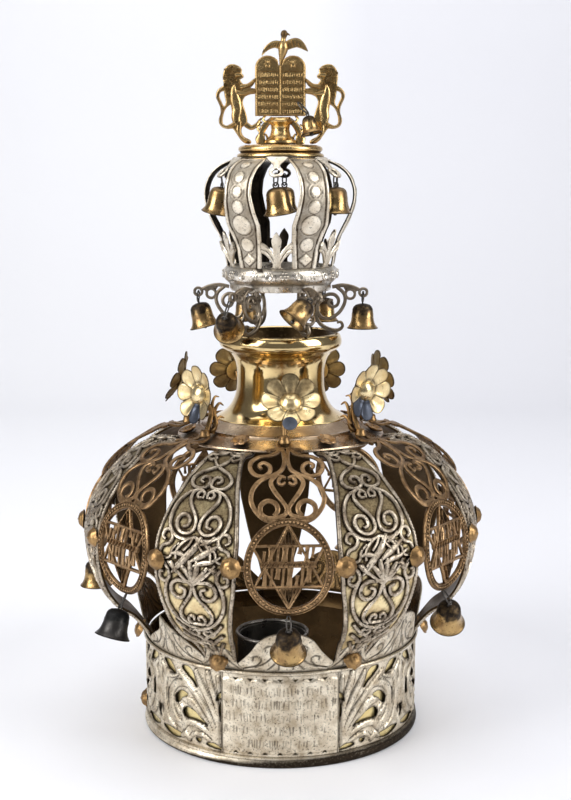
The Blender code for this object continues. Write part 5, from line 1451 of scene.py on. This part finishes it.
for side in (-1, 1):
    gaps = [sided(side, gap) for gap in TAIL_GAPS]
    lion = cut_plate("lion", sided(side, LION_SHAPE), gaps, LIONS_THICK, 0.7, smooth=2)
    lion.data.transform(stood_up)
    relief.append(lion)
    relief.append(strips("ridges", [sided(side, ridge) for ridge in BODY_RIDGES], face_plane, 1.3, ROUNDED))
    locks = []
    for _ in range(MANE_TUFTS):
        x, z = chance.uniform(22.6, 31.6), chance.uniform(9.5, 27.4)
        on_face = x < 24.6 and 19 < z < 26.8
        past_back, past_chest = x > 25.8 + 0.34 * (z + 2), x < 27.5 - 0.4 * (z + 2)
        if on_face or past_back or past_chest or z > 27.2 - 0.12 * (x - 27) ** 2:
            continue
        turn = chance.uniform(0, 6.3)
        curl = [(x + math.cos(turn + a) * (1 - a / 9), z + math.sin(turn + a) * (1 - a / 9), 0.38)
                for a in (0, 1.3, 2.6, 3.9, 5.0)]
        locks.append(sided(side, curl))
    relief.append(strips("mane", locks, face_plane, 0.65, ROUNDED, steps=2))
relief.append(strips("kick", KICKING_LEG, tilted_plane(0, TABLETS_FOOT, 0), 3.0, CAST))
chased_gilt = polished_metal("chased_gilt", (0.57, 0.4, 0.18), (0.37, 0.235, 0.095), (0.06, 0.032, 0.016),
                             rough=(0.2, 0.36), spots=0.55, tarnish_and_shade_in_hollows=0.45, dents=0.6, grain=800,
                             reach=0.0007)
fitted(joined("lions_with_tablets", relief), chased_gilt, "gilt", "lions_and_tablets")


# ---------------------------------------------------------------------------------------------
# The bird: a small solid casting with a round head and spread, drooping wings, pinned in the notch
# between the tablets' arches.
BIRD_FOOT = TABLETS_FOOT + 28.1
# The body and the beak: across, height above the foot, and thickness.
BODY = [(0.2, -0.5, 0.8), (0.5, 2.6, 1.2), (1.1, 6, 2.2), (1.6, 9.2, 2.9), (1.7, 11.6, 2.4),
        (1.6, 13.6, 1.4), (1.9, 15.2, 1.5), (2.1, 16.9, 2.0), (2.2, 18.6, 1.4), (2.2, 19.2, 0.4)]
BEAK = [(3.4, 17.2, 1.0), (4.6, 16.8, 0.7), (5.4, 16.2, 0.2)]
bird_body = wire("body", [(x, 0, BIRD_FOOT + z, thick) for x, z, thick in BODY], 1.0, sides=4)
wings = strips("wings", [
    [(1.0, 10.6, 2.4), (-3.2, 11.4, 2.0), (-6.8, 9.8, 1.5), (-9.0, 7.6, 0.9), (-10.4, 5.2, 0.2)],
    [(2.2, 9.8, 2.2), (6.0, 11.6, 2.6), (9.2, 12.2, 2.6), (12.0, 10.8, 1.9), (14.0, 9.0, 1.0),
     (15.4, 7.6, 0.2)],
], tilted_plane(0, BIRD_FOOT, 0), 1.6, CAST, steps=5)
quills = []
for k in range(5):
    quills.append([(0.2 - 1.6 * k, 12.4 - 0.17 * k * k, 0.22), (-0.8 - 1.6 * k, 9.9 - 0.12 * k * k, 0.22)])
    quills.append([(4.2 + 1.9 * k, 13.2 + 0.5 * k - 0.32 * k * k, 0.22),
                   (5.0 + 1.9 * k, 9.6 + 0.3 * k - 0.13 * k * k, 0.22)])
beak = wire("beak", [(x, 0, BIRD_FOOT + z, thick) for x, z, thick in BEAK], 0.8, steps=2)
quills = strips("quills", quills, tilted_plane(0.6, BIRD_FOOT, 0), 0.5, ROUNDED, steps=1)
bird = joined("cast_bird", [bird_body, wings, beak, quills])
shaded(bird, lambda p: 0.85 * np.clip((p[:, 2] - BIRD_FOOT - 14.2) / 1.2, 0, 1)
       + 0.5 * np.clip((p[:, 0] - 12.4) / 2, 0, 1))
fitted(bird, chased_gilt, "gilt", "bird")


# ---------------------------------------------------------------------------------------------
# The bells: each is spun thin from gilt brass, dark and bare on its shoulder and bright round the
# waist, with a turned lip and a loose clapper, and hangs from its ring on blackened iron wire.
LOOP = 1.5
# How far each crooked bell has swung, in degrees: outwards, and to its side.
BELL_SWINGS = {
    "bell_medallion_1": (-30, 0), "bell_medallion_2": (-22, 27), "bell_medallion_7": (20, 0),
    "bell_bracket_1": (8, -45), "bell_bracket_5": (-14, 0), "bell_bracket_6": (-56, -23),
    "bell_small_1": (-6, 8), "bell_small_6": (6, -12), "bell_finial": (14, 0),
}
worn_bell = polished_metal("worn_bell", (0.54, 0.36, 0.15), (0.28, 0.17, 0.075), (0.028, 0.021, 0.016),
                           rough=(0.19, 0.36), spots=0.7, tarnish_and_shade_in_hollows=0.5, dents=0.4, grain=420, patch=120)
black_bell = polished_metal("black_bell", (0.085, 0.08, 0.075), (0.05, 0.047, 0.045), (0.02, 0.02, 0.02),
                            rough=(0.3, 0.46), spots=0.4, tarnish_and_shade_in_hollows=0.4, dents=0.4)
wire_iron = polished_metal("wire_iron", (0.12, 0.11, 0.1), (0.06, 0.055, 0.05), (0.02, 0.02, 0.02),
                           rough=(0.3, 0.5), spots=0.3, tarnish_and_shade_in_hollows=0.4, dents=0.3)


def bell(name, azimuth, mouth, top, eye):
    """A bell hung below a (radius, height) point from the ring at another such point."""
    drop = 1.4 * mouth + 2.0
    outer = [(0.6, 0.15), (0.26 * mouth, -0.1), (0.47 * mouth, -0.7), (0.6 * mouth, -1.8),
             (0.665 * mouth, -3.2), (0.69 * mouth, -0.3 * mouth - 2.6), (0.71 * mouth, -0.34 * mouth - 2.8),
             (0.715 * mouth, -0.62 * mouth - 2.4), (0.755 * mouth, -0.9 * mouth - 2.2),
             (0.84 * mouth, -1.14 * mouth - 2), (0.955 * mouth, -drop + 0.9), (mouth, -drop + 0.5),
             (mouth + 0.1, -drop + 0.15), (0.97 * mouth, -drop)]
    inner = [(0.94 * mouth, -drop + 0.5), (0.79 * mouth, -1.14 * mouth - 2.2),
             (0.7 * mouth, -0.85 * mouth - 2.2), (0.65 * mouth, -3.8), (0.5 * mouth, -1.9), (0.01, -1.1)]
    made = lathe(name.replace("bell", "hung_bell"), outer + inner, turns=44, smooth_angle=45)
    chance = random.Random(name)
    lean = [chance.uniform(0, 6.3) for _ in range(3)]
    bare = 0.3 if "small" in name else 0.92

    def darkness(p):
        """Dark above a wavy line round the waist, inside, and at the lip."""
        turn = np.arctan2(p[:, 1], p[:, 0])
        edge = -0.5 * mouth - 1.4
        for size, waves, start in zip((0.9, 0.7, 0.4), (2, 5, 11), lean):
            edge = edge + size * np.sin(waves * turn + start)
        # Painted shade: the inside of the bell is painted darker.
        inside = np.hypot(p[:, 0], p[:, 1]) < 0.5 * mouth
        lip = np.clip((-p[:, 2] - drop + 0.9) / 0.4, 0, 1)
        shoulder_dark = bare * np.clip((p[:, 2] - edge) / 0.9, 0, 1)
        return np.maximum(shoulder_dark, np.maximum(0.85 * lip, 0.6 * inside))

    shaded(made, darkness)
    rod = [(0, 0, -1.4), (0.3, 0.2, -0.8 * drop), (0.5, 0.3, -drop - 0.3)]
    clapper = [wire("rod", rod, 0.45, steps=2, sides=2), bead(1.25, 2)]
    clapper[1].data.transform(Matrix.Translation((0.5 * MM, 0.3 * MM, (-drop + 0.2) * MM)))
    loop = [(LOOP * math.sin(a), 0, 1.1 - LOOP * math.cos(a)) for a in np.linspace(0, 2 * math.pi, 11)]
    loop = wire("loop", loop, 0.42, closed=True, steps=2, sides=2)
    metalwork = joined("bell_wire", clapper + [loop])
    out, side = BELL_SWINGS.get(name, (0, 0))
    swing = turned(-out, "X") @ turned(-side, "Y")
    hang = Matrix.Translation((0, -top[0] * MM, top[1] * MM)) @ swing
    made.data.transform(hang)
    metalwork.data.transform(hang)
    low = hang @ Vector((0, 0, 1.9 * MM)) / MM
    high = Vector((0, -eye[0], eye[1]))
    middle, reach = (low + high) / 2, (high - low).length / 2 + 1.0
    up = (high - low).normalized()
    sideways = Vector((1, 0, 0)).cross(up) * 0.35 + Vector((1, 0, 0)) * 0.94
    link = [tuple(middle + up * reach * math.cos(a) + sideways * 1.25 * math.sin(a))
            for a in np.linspace(0, 2 * math.pi, 13)]
    metalwork = joined("bell_wire", [metalwork, wire("link", link, 0.45, closed=True, steps=3, sides=2)])
    metalwork.name = metalwork.data.name = f"wire_of_{name}"
    for piece in (made, metalwork):
        piece.data.transform(turned(azimuth))
    fitted(made, black_bell if name == "bell_medallion_7" else worn_bell, "bell_gilt", name)
    fitted(metalwork, wire_iron, "dark_iron")


# Mouth radius, the point that the bell hangs from and the middle of the ring that holds it.
MEDALLION_BELL = (9.65, (115, 89), (110.8, 96.2))
BRACKET_BELL = (8.8, (47.4, 248.4), (47.6, 254.4))
SMALL_CROWN_BELL = (9.0, (36.6, 314.6), (36.8, 321.4))
FINIAL_BELL = (6.0, (17.4, 354), (11.8, 361))
FINIAL_BELL_AZIMUTH = 62
# The third medallion has lost its bell.
LOST_BELL = 2
# Two bracket bells have slipped on their rings: degrees round the crown, and where they hang.
SLIPPED = {0: (7.0, (46.0, 252.6)), 5: (1.5, (52.5, 243.5))}
for k, azimuth in enumerate(LOBE_AZIMUTHS):
    if k != LOST_BELL:
        bell(f"bell_medallion_{k + 1}", azimuth, *MEDALLION_BELL)
for k, azimuth in enumerate(BRACKET_AZIMUTHS):
    mouth, top, eye = BRACKET_BELL
    shift, top = SLIPPED.get(k, (0, top))
    bell(f"bell_bracket_{k + 1}", azimuth - shift, mouth, top, eye)
for k, azimuth in enumerate(OPENING_AZIMUTHS):
    bell(f"bell_small_{k + 1}", azimuth, *SMALL_CROWN_BELL)
bell("bell_finial", FINIAL_BELL_AZIMUTH, *FINIAL_BELL)
